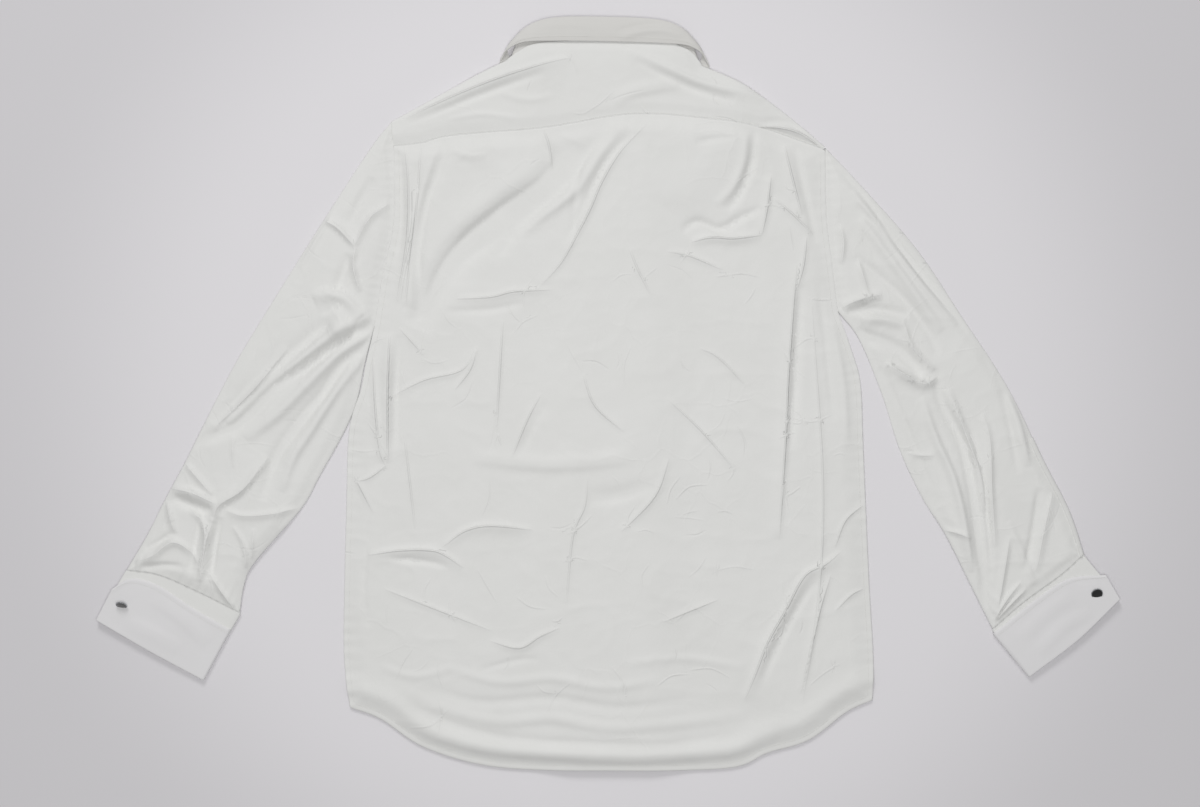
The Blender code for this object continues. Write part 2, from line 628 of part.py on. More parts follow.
def main():
    for obj in list(bpy.data.objects):
        bpy.data.objects.remove(obj)
    shirt = bpy.data.collections.new("dress_shirt")
    bpy.context.scene.collection.children.link(shirt)
    make_back(shirt)
    make_yoke(shirt)
    make_fronts(shirt)
    make_sleeves(shirt)
    make_cuffs(shirt)
    make_collar(shirt)
    make_buttons(shirt)


main()
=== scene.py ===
"""A white long sleeve dress shirt with linked double cuffs, laid flat on its front so its back shows.

Plan sizes are in millimetres: +Y runs from hem to collar, the wearer's left is on -X, and heights are above
the surface the shirt lies on. Meshes are made in metres.
"""

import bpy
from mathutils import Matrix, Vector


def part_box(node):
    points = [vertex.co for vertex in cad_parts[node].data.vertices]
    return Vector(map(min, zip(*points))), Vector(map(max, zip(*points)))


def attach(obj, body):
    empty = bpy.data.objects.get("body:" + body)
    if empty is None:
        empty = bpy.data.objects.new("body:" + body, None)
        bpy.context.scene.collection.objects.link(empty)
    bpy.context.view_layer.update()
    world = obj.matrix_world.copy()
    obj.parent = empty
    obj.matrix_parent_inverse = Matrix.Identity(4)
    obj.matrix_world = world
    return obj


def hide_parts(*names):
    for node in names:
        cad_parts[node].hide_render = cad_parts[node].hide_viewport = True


bl_info = {
    "name": "Laid-out dress shirt",
    "version": (1, 0, 0),
    "blender": (4, 5, 0),
    "location": "3D View > Sidebar > Shirt",
    "description": "Cloth, stitching, buttons and cufflinks of a dress shirt laid on its front",
    "category": "Object",
}

from collections import namedtuple

import bpy
import numpy as np
from bpy.props import FloatProperty, FloatVectorProperty, PointerProperty
from bpy.types import Operator, Panel, PropertyGroup

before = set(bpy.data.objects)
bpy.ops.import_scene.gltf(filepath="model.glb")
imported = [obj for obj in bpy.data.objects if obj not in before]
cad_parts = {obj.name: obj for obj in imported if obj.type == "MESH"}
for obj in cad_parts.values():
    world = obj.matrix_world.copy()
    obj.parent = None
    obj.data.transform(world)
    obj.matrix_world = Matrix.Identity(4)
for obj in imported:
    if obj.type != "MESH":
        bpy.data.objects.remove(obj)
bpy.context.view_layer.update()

MM = 0.001
# A shell's hidden side has one face for this many by this many faces of its fine side.
GROUP = 3
STAND_WALL = 1.0
CUFF_WALL = 1.1
PLACKET_WALL = 1.3
STITCH_LIFT = 0.12

# Plan outlines, each from its upper or left end
YOKE_SEAM = [(-236.6, 271.5), (-205, 275), (-172, 283), (-72, 291), (25, 306), (110, 301), (165, 292),
             (236, 268)]
SHOULDER_LEFT = [(-238.3, 299), (-200, 320), (-150, 347.5), (-112, 366)]
NECK_BACK = [(-112, 366), (-99, 375), (-82, 383), (-50, 386), (0, 386.6), (60, 385.6), (78, 381), (91, 374),
             (103, 360)]
SHOULDER_RIGHT = [(103, 360), (150, 339), (200, 303), (238, 271)]
ARMHOLE_LEFT = [(-238.5, 299), (-236.6, 271), (-235.5, 225), (-237, 180), (-249, 125), (-257, 74)]
ARMHOLE_RIGHT = [(238.4, 270), (238.6, 240), (240, 190), (246, 140), (252, 90)]
SIDE_LEFT = [(-257, 74), (-266, 36), (-272, 5), (-285, -40), (-288, -120), (-291, -262), (-289, -310),
             (-284, -345)]
SIDE_RIGHT = [(252, 90), (268, 45), (277, 10), (280, -60), (286, -200), (291, -290), (290, -337)]
HEM = [(-284, -345), (-250, -358), (-200, -390), (-120, -411), (0, -414), (130, -412), (175, -395),
       (220, -381), (262, -350), (290, -337)]
SLEEVE_LEFT_OUTER = [(-238.5, 299), (-262, 269), (-316, 186), (-368, 103), (-412, 30), (-450, -45),
                     (-466, -77), (-488, -118), (-508, -158), (-529, -194)]
SLEEVE_LEFT_INNER = [(-257, 74), (-267, 36), (-281, -22), (-318, -92), (-338, -127), (-388, -185),
                     (-400, -210), (-405, -241)]
CUFF_SEAM_LEFT = [(-529, -194), (-495, -199), (-455, -216), (-405, -241)]
SLEEVE_RIGHT_OUTER = [(238.4, 270), (280, 226), (340, 157), (388, 85), (438, 8), (478, -75), (505, -128),
                      (521, -177)]
SLEEVE_RIGHT_INNER = [(252, 90), (275, 60), (300, 0), (320, -62), (345, -115), (370, -155), (400, -215),
                      (422, -259)]
CUFF_SEAM_RIGHT = [(521, -177), (497, -199), (455, -230), (422, -259)]
CUFF_LEFT_EDGE = [(-544, -214), (-524, -203), (-495, -210), (-455, -236), (-417, -258)]
CUFF_LEFT_FOLD = [(-562, -249), (-504, -283), (-447, -314)]
CUFF_RIGHT_EDGE = [(545, -199), (505, -203), (470, -225), (424, -262)]
CUFF_RIGHT_FOLD = [(561, -226), (515, -271), (464, -310)]
LINK_LEFT = (-533, -231)
LINK_RIGHT = (535, -219)

# The collar's left half, from the middle of the back round the neck to the centre front: (x, y, height)
STAND_SEAM = [(0, 384.5, 7.2), (-55, 384, 7.0), (-86, 380, 6.6), (-103, 371, 5.8), (-107.5, 360, 4.2),
              (-101, 344, 3.6), (-76, 320, 3.5), (-40, 306, 3.5), (0, 303, 3.5)]
STAND_TOP = [(0, 408.5, 6.4), (-55, 408, 6.4), (-80, 403, 6.2), (-97, 390, 5.6), (-103, 374.5, 4.5),
             (-97, 362, 3.6), (-72, 346, 3.5), (-38, 336, 3.5), (0, 333, 3.5)]
LEAF_FOLD = [(0, 412.5, 6.2), (-56, 412, 6.2), (-84, 405, 6.0), (-102.5, 390, 5.0), (-111, 376, 3.0),
             (-101, 359, 1.9), (-74, 344, 1.6), (-42, 335, 1.4), (-9, 332, 1.4)]
LEAF_EDGE = [(0, 385.5, 11.2), (-60, 386, 11.0), (-92, 385, 10.4), (-108, 378.5, 8.6), (-116, 369, 5.6),
             (-119.5, 361.5, 2.4), (-119, 350, 1.6), (-113, 328, 1.4), (-98, 296, 1.4), (-72, 262, 1.4)]
COLLAR_RIGHT_SHARE = 0.925
COLLAR_RIGHT_DROP = 0.04

CENTRE_X = 4.0
PLACKET_WIDTH = 35.0
FRONT_HEM_RISE = 7.0
BUTTON_ROWS = [320.0] + [236.0 - 90.0 * k for k in range(6)]

# A crease is a smooth run through its path, raised (or sunk) by height, with its own reach on each side.
# pinch is 2 for a soft roll and nearer 1 for a sharp pressed line.
Crease = namedtuple("Crease", "height left right pinch path")
# A crease with less pinch than this has a thin line along it, which stands this high on a crease 1 mm high.
PRESSED_PINCH = 1.45
PRESSED_RISE = 0.62

BACK_CREASES = [
    # broad folds that run down from the yoke towards the left armhole
    Crease(-3.4, 12, 16, 1.8, [(-40, 277), (-62, 235), (-103, 202), (-142, 169), (-172, 144), (-208, 70)]),
    Crease(2.6, 9, 14, 1.7, [(-62, 262), (-84, 237), (-118, 215), (-160, 182), (-192, 140), (-212, 92)]),
    Crease(2.4, 8, 12, 1.6, [(18, 297), (-8, 266), (-34, 226), (-64, 202), (-104, 172)]),
    Crease(-2.4, 8, 11, 1.6, [(4, 292), (-24, 261), (-53, 222), (-86, 195), (-129, 146)]),
    Crease(1.5, 4, 6, 1.3, [(42, 296), (13, 265), (-7, 232), (-20, 202), (-37, 169), (-53, 142), (-76, 117)]),
    Crease(-1.3, 6, 6, 1.5, [(36, 290), (4, 262), (-16, 228), (-30, 196), (-46, 166)]),
    Crease(-1.4, 5, 6, 1.5, [(-14, 276), (-31, 248), (-37, 205), (-37, 165)]),
    Crease(1.2, 5, 5, 1.4, [(-72, 291), (-65, 271), (-62, 245)]),
    Crease(1.0, 4, 6, 1.5, [(-171, 268), (-152, 260), (-133, 263)]),
    # left pleat and the tucks beside the armhole
    Crease(-2.2, 6, 9, 1.6, [(-174, 281), (-185, 248), (-199, 208), (-208, 152), (-204, 80)]),
    Crease(2.0, 6, 6, 1.5, [(-186, 276), (-200, 236), (-213, 190), (-219, 130), (-216, 84)]),
    Crease(-1.6, 4, 5, 1.4, [(-206, 271), (-211, 202), (-217, 150), (-224, 90)]),
    Crease(1.5, 4, 4, 1.4, [(-224, 274), (-220, 235), (-221, 170), (-232, 100)]),
    Crease(-1.5, 4, 5, 1.5, [(-229, 262), (-227, 200), (-232, 150)]),
    # right pleat and its folds
    Crease(-2.2, 5, 8, 1.5, [(160, 289), (158, 255), (146, 222), (130, 200)]),
    Crease(1.9, 6, 6, 1.5, [(151, 287), (149, 256), (137, 226), (118, 206)]),
    Crease(-2.6, 6, 5, 1.6, [(80, 178), (98, 188), (122, 180), (145, 192), (168, 204)]),
    Crease(2.3, 5, 7, 1.4, [(90, 166), (112, 171), (138, 170), (168, 174)]),
    Crease(1.6, 4, 6, 1.4, [(178, 240), (174, 204), (168, 174)]),
    Crease(-1.2, 5, 5, 1.6, [(95, 274), (115, 279), (138, 281)]),
    Crease(-1.8, 5, 6, 1.5, [(204, 272), (213, 235), (220, 202), (229, 165)]),
    Crease(1.6, 5, 5, 1.4, [(193, 272), (202, 235), (212, 196)]),
    Crease(1.3, 4, 5, 1.3, [(181, 215), (204, 195), (224, 175)]),
    Crease(1.3, 4, 4, 1.3, [(217, 172), (214, 142), (207, 116)]),
    Crease(1.1, 4, 5, 1.4, [(64, 156), (89, 151), (125, 136)]),
    Crease(0.9, 4, 4, 1.4, [(23, 159), (32, 136), (46, 109)]),
    # shallow pressed creases over the middle
    Crease(1.3, 4, 6, 1.3, [(-168, 104), (-129, 106), (-103, 112), (-62, 114)]),
    Crease(-1.1, 5, 5, 1.6, [(-180, 90), (-130, 92), (-92, 100)]),
    Crease(1.2, 3, 5, 1.2, [(-116, 82), (-119, 26), (-123, -42)]),
    Crease(1.0, 3, 5, 1.3, [(-236, -2), (-202, 15), (-161, 26), (-143, 52)]),
    Crease(0.9, 3, 4, 1.3, [(-145, 48), (-152, 26), (-169, 4)]),
    Crease(0.8, 3, 4, 1.3, [(-229, 72), (-202, 42)]),
    Crease(1.2, 3, 4, 1.2, [(-74, 0), (-89, -29), (-106, -70)]),
    Crease(-0.8, 4, 6, 1.6, [(-66, -8), (-80, -34), (-97, -70)]),
    Crease(1.1, 4, 3, 1.3, [(-28, 22), (-15, -13), (17, -42)]),
    Crease(1.1, 3, 4, 1.3, [(64, -5), (101, -40), (138, -82)]),
    Crease(0.9, 3, 4, 1.4, [(100, 50), (120, 40), (150, 10)]),
    Crease(1.2, 4, 5, 1.3, [(66, -71), (51, -112), (13, -152)]),
    Crease(1.4, 10, 8, 2.0, [(-150, -70), (-80, -78), (-20, -76), (30, -70)]),
    Crease(-1.3, 10, 8, 2.0, [(-22, -116), (12, -112), (48, -100)]),
    Crease(1.0, 3, 4, 1.2, [(-23, -88), (-26, -123), (-39, -156), (-46, -230)]),
    Crease(0.9, 3, 3, 1.2, [(-224, -44), (-218, -95), (-212, -148)]),
    Crease(0.9, 3, 4, 1.3, [(-279, -90), (-258, -130)]),
    Crease(2.0, 4, 8, 1.2, [(-264, -177), (-229, -172), (-194, -172), (-178, -178), (-159, -191)]),
    Crease(-1.4, 5, 4, 1.6, [(-240, -182), (-205, -184), (-176, -190)]),
    Crease(1.8, 4, 8, 1.2, [(-182, -168), (-158, -151), (-130, -145), (-84, -149)]),
    Crease(0.9, 3, 5, 1.4, [(-246, -214), (-185, -238), (-128, -260)]),
    Crease(1.3, 4, 5, 1.3, [(-130, -271), (-98, -279), (-75, -266), (-53, -256)]),
    Crease(-1.0, 4, 4, 1.5, [(-141, -303), (-97, -292), (-76, -292)]),
    Crease(0.9, 4, 4, 1.4, [(60, -250), (90, -238), (120, -226)]),
    # strong creases near the right side
    Crease(2.6, 4, 9, 1.25, [(149, -336), (160, -310), (175, -272), (194, -238), (215, -200), (238, -187),
                             (255, -173)]),
    Crease(-1.5, 7, 5, 1.6, [(168, -318), (186, -276), (206, -238), (226, -206)]),
    Crease(1.4, 3, 5, 1.3, [(244, -198), (233, -233), (224, -271), (211, -328)]),
    Crease(1.0, 3, 4, 1.4, [(280, -122), (260, -139), (248, -169)]),
    Crease(1.0, 3, 4, 1.4, [(249, -238), (266, -221), (280, -214)]),
    Crease(2.4, 3.5, 7, 1.25, [(206, 142), (200, 60), (197, 15), (194, -51), (187, -160)]),
    Crease(-1.6, 6, 5, 1.6, [(212, 120), (208, 60), (205, 10), (201, -60)]),
    Crease(0.9, 4, 4, 1.4, [(222, 105), (235, -95), (230, -227), (212, -342)]),
    Crease(1.2, 5, 5, 1.5, [(246, 80), (258, 10), (262, -60)]),
    Crease(-1.1, 5, 5, 1.6, [(230, 120), (240, 40), (247, -30)]),
    # the left side, under the sleeve
    Crease(2.6, 4, 8, 1.3, [(-240, 66), (-242, 0), (-242, -76)]),
    Crease(-1.9, 5, 6, 1.5, [(-230, 64), (-232, 4), (-233, -60)]),
    Crease(1.5, 4, 5, 1.4, [(-258, 40), (-256, -10), (-251, -60), (-243, -82)]),
    Crease(1.0, 3, 4, 1.3, [(-243, -78), (-262, -92), (-276, -96)]),
    Crease(-1.1, 5, 5, 1.6, [(-262, -140), (-268, -200), (-266, -256)]),
    # the tail
    Crease(1.6, 9, 7, 1.9, [(-232, -356), (-182, -378), (-120, -392), (-40, -397), (30, -400), (130, -393),
                            (190, -372)]),
    Crease(-1.6, 7, 7, 1.9, [(-225, -340), (-178, -362), (-118, -378), (-40, -384), (60, -386), (140, -376)]),
    Crease(1.3, 7, 7, 1.8, [(-232, -322), (-180, -346), (-120, -360), (-60, -356), (0, -366), (70, -362),
                            (150, -352)]),
    Crease(-1.1, 6, 7, 1.8, [(-200, -322), (-140, -338), (-60, -334), (10, -344), (90, -336)]),
    Crease(1.1, 6, 6, 1.7, [(-180, -300), (-120, -316), (-60, -312), (0, -322), (60, -312)]),
    Crease(0.9, 5, 6, 1.7, [(20, -296), (80, -290), (150, -300)]),
    Crease(0.9, 5, 6, 1.7, [(-250, -300), (-210, -310), (-170, -300)]),
]

YOKE_CREASES = [
    Crease(2.0, 4, 9, 1.3, [(-231, 298), (-185, 320), (-119, 346), (-67, 362), (-40, 368)]),
    Crease(-1.4, 6, 5, 1.6, [(-222, 296), (-180, 312), (-116, 336), (-70, 352)]),
    Crease(2.2, 6, 9, 1.5, [(20, 378), (52, 361), (89, 345), (118, 336), (146, 332), (172, 326)]),
    Crease(-1.6, 7, 6, 1.7, [(30, 366), (64, 348), (98, 333), (140, 321)]),
    Crease(1.2, 9, 7, 1.9, [(4, 320), (32, 331), (78, 339)]),
    Crease(1.8, 4, 6, 1.3, [(158, 293), (191, 291), (215, 283), (236, 268)]),
    Crease(-1.2, 5, 5, 1.5, [(172, 300), (200, 296), (224, 284)]),
    Crease(0.8, 5, 5, 1.6, [(-120, 330), (-90, 322), (-60, 326)]),
    Crease(0.8, 4, 5, 1.5, [(-180, 300), (-140, 306), (-100, 302)]),
]

SLEEVE_LEFT_CREASES = [
    Crease(2.2, 4, 6, 1.25, [(-277, 160), (-297, 181), (-314, 191)]),
    Crease(2.0, 4, 5, 1.25, [(-279, 162), (-262, 192), (-241, 208)]),
    Crease(2.0, 4, 5, 1.3, [(-277, 162), (-280, 140), (-273, 112)]),
    Crease(-1.7, 7, 7, 1.7, [(-284, 152), (-292, 130), (-300, 108)]),
    Crease(-1.2, 7, 7, 1.8, [(-258, 236), (-272, 210), (-284, 184)]),
    Crease(2.6, 6, 10, 1.5, [(-324, 104), (-308, 110), (-289, 105), (-270, 84)]),
    Crease(2.4, 10, 12, 2.0, [(-302, 92), (-294, 74), (-282, 66)]),
    Crease(-3.0, 7, 10, 1.7, [(-298, 84), (-345, 41), (-392, 0), (-432, -36)]),
    Crease(2.0, 3, 6, 1.2, [(-352, 50), (-386, 8), (-412, -18), (-432, -37)]),
    Crease(3.0, 8, 9, 1.6, [(-262, 88), (-300, 66), (-342, 36), (-384, 6), (-420, -32)]),
    Crease(-3.0, 7, 8, 1.7, [(-256, 76), (-290, 58), (-330, 30), (-365, 6), (-405, -34), (-458, -56)]),
    Crease(2.7, 7, 8, 1.6, [(-262, 66), (-296, 44), (-328, 12), (-362, -22), (-398, -50)]),
    Crease(-2.7, 7, 8, 1.7, [(-260, 58), (-290, 33), (-312, 0), (-340, -34), (-365, -72), (-379, -118)]),
    Crease(2.2, 6, 8, 1.6, [(-268, 40), (-296, 6), (-322, -34), (-346, -72), (-358, -108)]),
    Crease(2.6, 4, 7, 1.3, [(-373, -70), (-400, -105), (-427, -123), (-434, -142)]),
    Crease(2.6, 5, 5, 1.3, [(-433, -136), (-441, -165), (-448, -206)]),
    Crease(-2.2, 5, 6, 1.6, [(-426, -136), (-431, -165), (-436, -204)]),
    Crease(-1.8, 5, 6, 1.6, [(-444, -128), (-452, -160), (-458, -196)]),
    Crease(2.6, 4, 8, 1.3, [(-482, -104), (-458, -108), (-430, -121)]),
    Crease(-2.4, 6, 7, 1.6, [(-478, -114), (-452, -124), (-434, -130)]),
    Crease(1.8, 4, 5, 1.3, [(-465, -76), (-451, -92), (-434, -112)]),
    Crease(1.7, 4, 5, 1.4, [(-461, -124), (-448, -137), (-442, -152), (-443, -172)]),
    Crease(1.7, 4, 5, 1.4, [(-484, -118), (-480, -136), (-475, -154)]),
    Crease(2.0, 4, 6, 1.4, [(-520, -184), (-500, -178), (-478, -163), (-459, -172), (-450, -186)]),
    Crease(-1.5, 5, 5, 1.6, [(-508, -172), (-488, -160), (-474, -150)]),
    Crease(-1.4, 4, 5, 1.6, [(-512, -190), (-488, -188), (-465, -190)]),
    Crease(1.5, 4, 6, 1.4, [(-420, -128), (-400, -134), (-370, -132), (-342, -126)]),
    Crease(1.2, 3, 4, 1.3, [(-412, -145), (-400, -165), (-397, -192)]),
    Crease(1.0, 3, 4, 1.3, [(-389, -148), (-391, -182)]),
    Crease(1.4, 4, 4, 1.4, [(-440, -193), (-426, -214), (-412, -235)]),
    Crease(0.9, 3, 4, 1.4, [(-413, -45), (-411, -82)]),
    Crease(1.1, 5, 6, 1.6, [(-300, 205), (-322, 168), (-340, 138)]),
]

SLEEVE_RIGHT_CREASES = [
    Crease(-1.8, 5, 6, 1.6, [(258, 244), (285, 208), (330, 148), (376, 94), (396, 68)]),
    Crease(2.0, 5, 6, 1.5, [(268, 224), (300, 181), (345, 120), (384, 76)]),
    Crease(-1.7, 5, 6, 1.6, [(272, 206), (320, 158), (362, 104), (388, 72)]),
    Crease(2.0, 6, 7, 1.6, [(276, 192), (322, 130), (366, 68)]),
    Crease(1.2, 3, 5, 1.3, [(296, 207), (332, 168), (381, 98), (404, 60)]),
    Crease(-1.7, 6, 6, 1.7, [(270, 150), (315, 113), (350, 70), (362, 42)]),
    Crease(1.6, 4, 5, 1.4, [(254, 184), (258, 166), (256, 142)]),
    Crease(1.4, 4, 5, 1.4, [(274, 147), (280, 126), (286, 106)]),
    Crease(2.2, 5, 6, 1.4, [(256, 94), (275, 103), (300, 109)]),
    Crease(-1.9, 6, 6, 1.6, [(262, 90), (290, 92), (330, 86)]),
    Crease(2.0, 6, 7, 1.7, [(276, 82), (300, 82), (326, 76)]),
    Crease(-3.0, 7, 7, 1.6, [(272, 68), (315, 50), (336, 30), (345, 20)]),
    Crease(2.9, 4, 7, 1.3, [(304, 34), (326, 20), (345, 11), (361, 18)]),
    Crease(2.0, 4, 5, 1.3, [(324, 78), (334, 50), (358, 26)]),
    Crease(-3.0, 6, 7, 1.6, [(358, 26), (366, -10), (388, -52), (399, -100), (406, -155), (413, -214),
                             (411, -240)]),
    Crease(2.6, 5, 6, 1.4, [(372, 6), (392, -46), (408, -90), (413, -130)]),
    Crease(2.6, 5, 7, 1.5, [(344, -4), (358, -46), (378, -92), (390, -140), (398, -196)]),
    Crease(-1.8, 4, 5, 1.5, [(398, -40), (411, -95), (418, -160), (420, -204)]),
    Crease(1.8, 4, 5, 1.3, [(410, -22), (418, -52), (420, -110), (424, -168)]),
    Crease(1.7, 4, 5, 1.4, [(440, -156), (431, -210), (425, -242)]),
    Crease(1.6, 4, 6, 1.4, [(468, -196), (478, -145), (487, -108)]),
    Crease(-1.6, 5, 6, 1.6, [(456, -196), (466, -150), (472, -104)]),
    Crease(1.3, 5, 6, 1.6, [(438, -140), (454, -176), (466, -210)]),
    Crease(1.5, 3, 4, 1.3, [(422, -250), (436, -226), (452, -206)]),
    Crease(1.3, 3, 4, 1.3, [(426, -248), (442, -230), (458, -214)]),
    Crease(1.4, 4, 4, 1.4, [(368, -150), (382, -153), (397, -159)]),
    Crease(1.0, 3, 4, 1.4, [(328, -65), (342, -68), (357, -68)]),
    Crease(-1.4, 6, 7, 1.8, [(300, 30), (320, -20), (340, -70), (362, -124)]),
    Crease(1.5, 5, 6, 1.7, [(440, 0), (452, -40), (460, -80)]),
    Crease(-1.1, 5, 6, 1.7, [(430, 4), (442, -40), (450, -88)]),
]

CUFF_CREASES = [
    Crease(0.5, 8, 10, 2.0, [(-530, -250), (-500, -262), (-470, -280)]),
    Crease(0.5, 10, 8, 2.0, [(-500, -225), (-470, -245), (-440, -275)]),
    Crease(0.5, 8, 8, 2.0, [(530, -240), (500, -255), (470, -285)]),
    Crease(0.5, 9, 8, 2.0, [(510, -220), (480, -240), (450, -270)]),
]

LEAF_CREASES = [
    Crease(1.2, 4, 5, 1.4, [(12, 389), (28, 394), (42, 397), (62, 397), (82, 391)]),
    Crease(-0.9, 4, 4, 1.6, [(8, 396), (30, 402), (60, 404)]),
    Crease(0.5, 5, 5, 1.8, [(-80, 402), (-40, 404), (-10, 400)]),
]


# ---------------------------------------------------------------- cloth shapes


def smooth(points, steps=8):
    """A Catmull-Rom run through the given points."""
    p = np.array(points, float)
    q = np.vstack([2 * p[0] - p[1], p, 2 * p[-1] - p[-2]])
    t = np.arange(1, steps + 1)[:, None] / steps
    run = [p[:1]]
    for a, b, c, d in zip(q, q[1:], q[2:], q[3:]):
        square, cube = (2 * a - 5 * b + 4 * c - d) * t**2, (3 * b - a - 3 * c + d) * t**3
        run.append(b + ((c - a) * t + square + cube) / 2)
    return np.vstack(run)


def spread(line, shares):
    """Points at shares of a line's length."""
    at = np.concatenate([[0], np.cumsum(np.linalg.norm(np.diff(line, axis=0), axis=1))])
    return np.stack([np.interp(shares, at / at[-1], line[:, k]) for k in range(line.shape[1])], axis=1)


def length_of(line):
    return np.linalg.norm(np.diff(line, axis=0), axis=1).sum()


def patch(bottom, top, left, right, u, v):
    """Plan points between four edges, by rows: bottom and top run left to right, the sides upwards."""
    b, t, lo, hi = spread(bottom, u), spread(top, u), spread(left, v), spread(right, v)
    across, up = u[None, :, None], v[:, None, None]
    low, high = b[0] * (1 - across) + b[-1] * across, t[0] * (1 - across) + t[-1] * across
    corners = low * (1 - up) + high * up
    return b[None] * (1 - up) + t[None] * up + lo[:, None] * (1 - across) + hi[:, None] * across - corners


def shares_for(length, spacing, step=1, close=()):
    """Even shares along a length, in whole groups of step, with more at close distances from both ends."""
    count = step * max(1, int(np.ceil(length / spacing / step)))
    extra = np.array(close) / length
    return np.sort(np.concatenate([np.linspace(0, 1, count + 1), extra, 1 - extra]))


def ease(value):
    """0 at 0 or less, 1 at 1 or more, smooth between."""
    t = np.clip(value, 0, 1)
    return t * t * (3 - 2 * t)


def drift(x, y, size, seed):
    """Smooth seeded noise from -1 to 1 with features of about the given size."""
    lattice = np.random.default_rng(seed).uniform(-1, 1, (61, 67))
    u, v = x / size + 29.3, y / size + 31.7
    i, j = np.floor(u).astype(int), np.floor(v).astype(int)
    s, t = ease(u - i), ease(v - j)
    pick = lambda a, b: lattice[a % 61, b % 67]
    low = pick(i, j) * (1 - s) + pick(i + 1, j) * s
    high = pick(i, j + 1) * (1 - s) + pick(i + 1, j + 1) * s
    return low * (1 - t) + high * t


def crumple(x, y, size, seed):
    """Cloth that has been pressed and creased: shallow facets with thin raised lines between them."""
    wx = x + 0.45 * size * drift(x, y, 1.7 * size, seed + 1)
    wy = y + 0.45 * size * drift(x, y, 1.7 * size, seed + 2)
    lines = 1 - np.abs(drift(wx, wy, size, seed)) * 2.2
    return np.clip(lines, 0, 1) ** 2


def along_crease(x, y, crease, reach):
    """(points within reach, their distance from the crease, the side of it, its share of height there)."""
    line = smooth(crease.path, 6)
    near = ((x > line[:, 0].min() - reach) & (x < line[:, 0].max() + reach)
            & (y > line[:, 1].min() - reach) & (y < line[:, 1].max() + reach))
    px, py = x[near], y[near]
    steps = np.diff(line, axis=0)
    lengths = np.linalg.norm(steps, axis=1)
    starts = np.concatenate([[0], np.cumsum(lengths)])
    best, side, share = np.full(px.shape, 1e9), np.zeros_like(px), np.zeros_like(px)
    for a, d, l, s in zip(line, steps, lengths, starts):
        t = np.clip(((px - a[0]) * d[0] + (py - a[1]) * d[1]) / (l * l), 0, 1)
        ex, ey = px - a[0] - t * d[0], py - a[1] - t * d[1]
        closer = np.hypot(ex, ey) < best
        best = np.where(closer, np.hypot(ex, ey), best)
        side = np.where(closer, d[0] * ey - d[1] * ex, side)
        share = np.where(closer, (s + t * l) / starts[-1], share)
    # A crease dies away towards both ends.
    return near, best, side, np.clip(4 * share * (1 - share), 0, 1) ** 0.6


def creased(x, y, creases):
    """The height that a table of creases adds at each plan point."""
    sizes = bpy.context.scene.shirt_sizes
    total = np.zeros_like(x)
    for crease in creases:
        near, best, side, taper = along_crease(x, y, crease, 3.2 * max(crease.left, crease.right))
        # Narrow creases are pressed sharper and lower than broad folds.
        width = np.where(side > 0, crease.left, crease.right) * sizes.crease_width
        width *= 0.55 + 0.09 * width
        height = crease.height * sizes.creasing * (0.6 + 0.05 * max(crease.left, crease.right))
        blunt = 1 + (0.35 * width) ** 2
        off = np.sqrt(best**2 + blunt) - np.sqrt(blunt)
        total[near] += height * taper * np.exp(-((off / width) ** crease.pinch))
    return total


def strays(seed, count, low, high):
    """Short thin creases strewn between two plan corners."""
    random = np.random.default_rng(seed)
    for _ in range(count):
        start, turn = random.uniform(low, high), random.uniform(0, np.pi)
        way, length = np.array([np.cos(turn), np.sin(turn)]), random.uniform(12, 48)
        bend = np.array([-way[1], way[0]]) * length * random.uniform(-0.18, 0.18)
        height = random.uniform(0.1, 0.5) * random.choice([-1, 1, 1])
        yield Crease(height, 3, 3, 1.2, [start, start + way * length / 2 + bend, start + way * length])


def pressed(grid, creases):
    """(distance from the nearest sharp crease, its left as positive, and its line's rise), both in mm."""
    x, y = grid[..., 0], grid[..., 1]
    reach, beside_line = 14.0, 3.4
    away, rise = np.full(x.shape, reach), np.zeros_like(x)
    for crease in creases:
        if crease.pinch < PRESSED_PINCH:
            near, best, side, taper = along_crease(x, y, crease, reach)
            closer = best < np.abs(away[near])
            away[near] = np.where(closer, np.where(side < 0, -best, best), away[near])
            # Points further off hold no rise, so that two creases near each other don't draw a third.
            line = np.sign(crease.height) * PRESSED_RISE * np.sqrt(abs(crease.height)) * taper
            rise[near] = np.where(closer, np.where(best < beside_line, line, 0), rise[near])
    return away, rise


def stitched_edge(away, inset, roll=0.3):
    """The roll between a stitched edge and its row of stitches, with the thread pulling the cloth down."""
    raised = np.exp(-(((away - 0.5 * inset) / (0.35 * inset)) ** 2))
    pulled = np.exp(-(((away - inset) / 1.1) ** 2))
    return roll * raised - 0.8 * roll * pulled


def puckers(along, away, pitch, height, reach, seed):
    """Small gathers that run square to a seam and die away from it."""
    phase = along / pitch * 2 * np.pi + 2.4 * drift(along, 0 * along, 3.1 * pitch, seed)
    size = 0.55 + 0.45 * drift(along, 0 * along + 40, 2.2 * pitch, seed + 5)
    return height * size * np.sin(phase) * np.exp(-((away / reach) ** 1.4))


def over_fronts(x, y):
    """The height that the fronts, placket and buttons give to what lies on them."""
    strip = 1 - ease((np.abs(x - CENTRE_X) - PLACKET_WIDTH / 2 - 18) / 59)
    neck = 1 - ease((np.hypot(x - CENTRE_X, 1.1 * (y - 338)) - 136) / 64)
    return 1.6 + 4.3 * np.maximum(strip, neck)


def above(z, floor):
    """Keeps a surface over the layer below it, without a sharp line where it comes to rest."""
    gap = z - floor
    return floor + (gap + np.sqrt(gap * gap + 0.7)) / 2


def joined(z, height, away):
    """Brings a surface to a shared height where it meets the next piece."""
    return height + (z - height) * ease(away / 1.5 + 0.02)


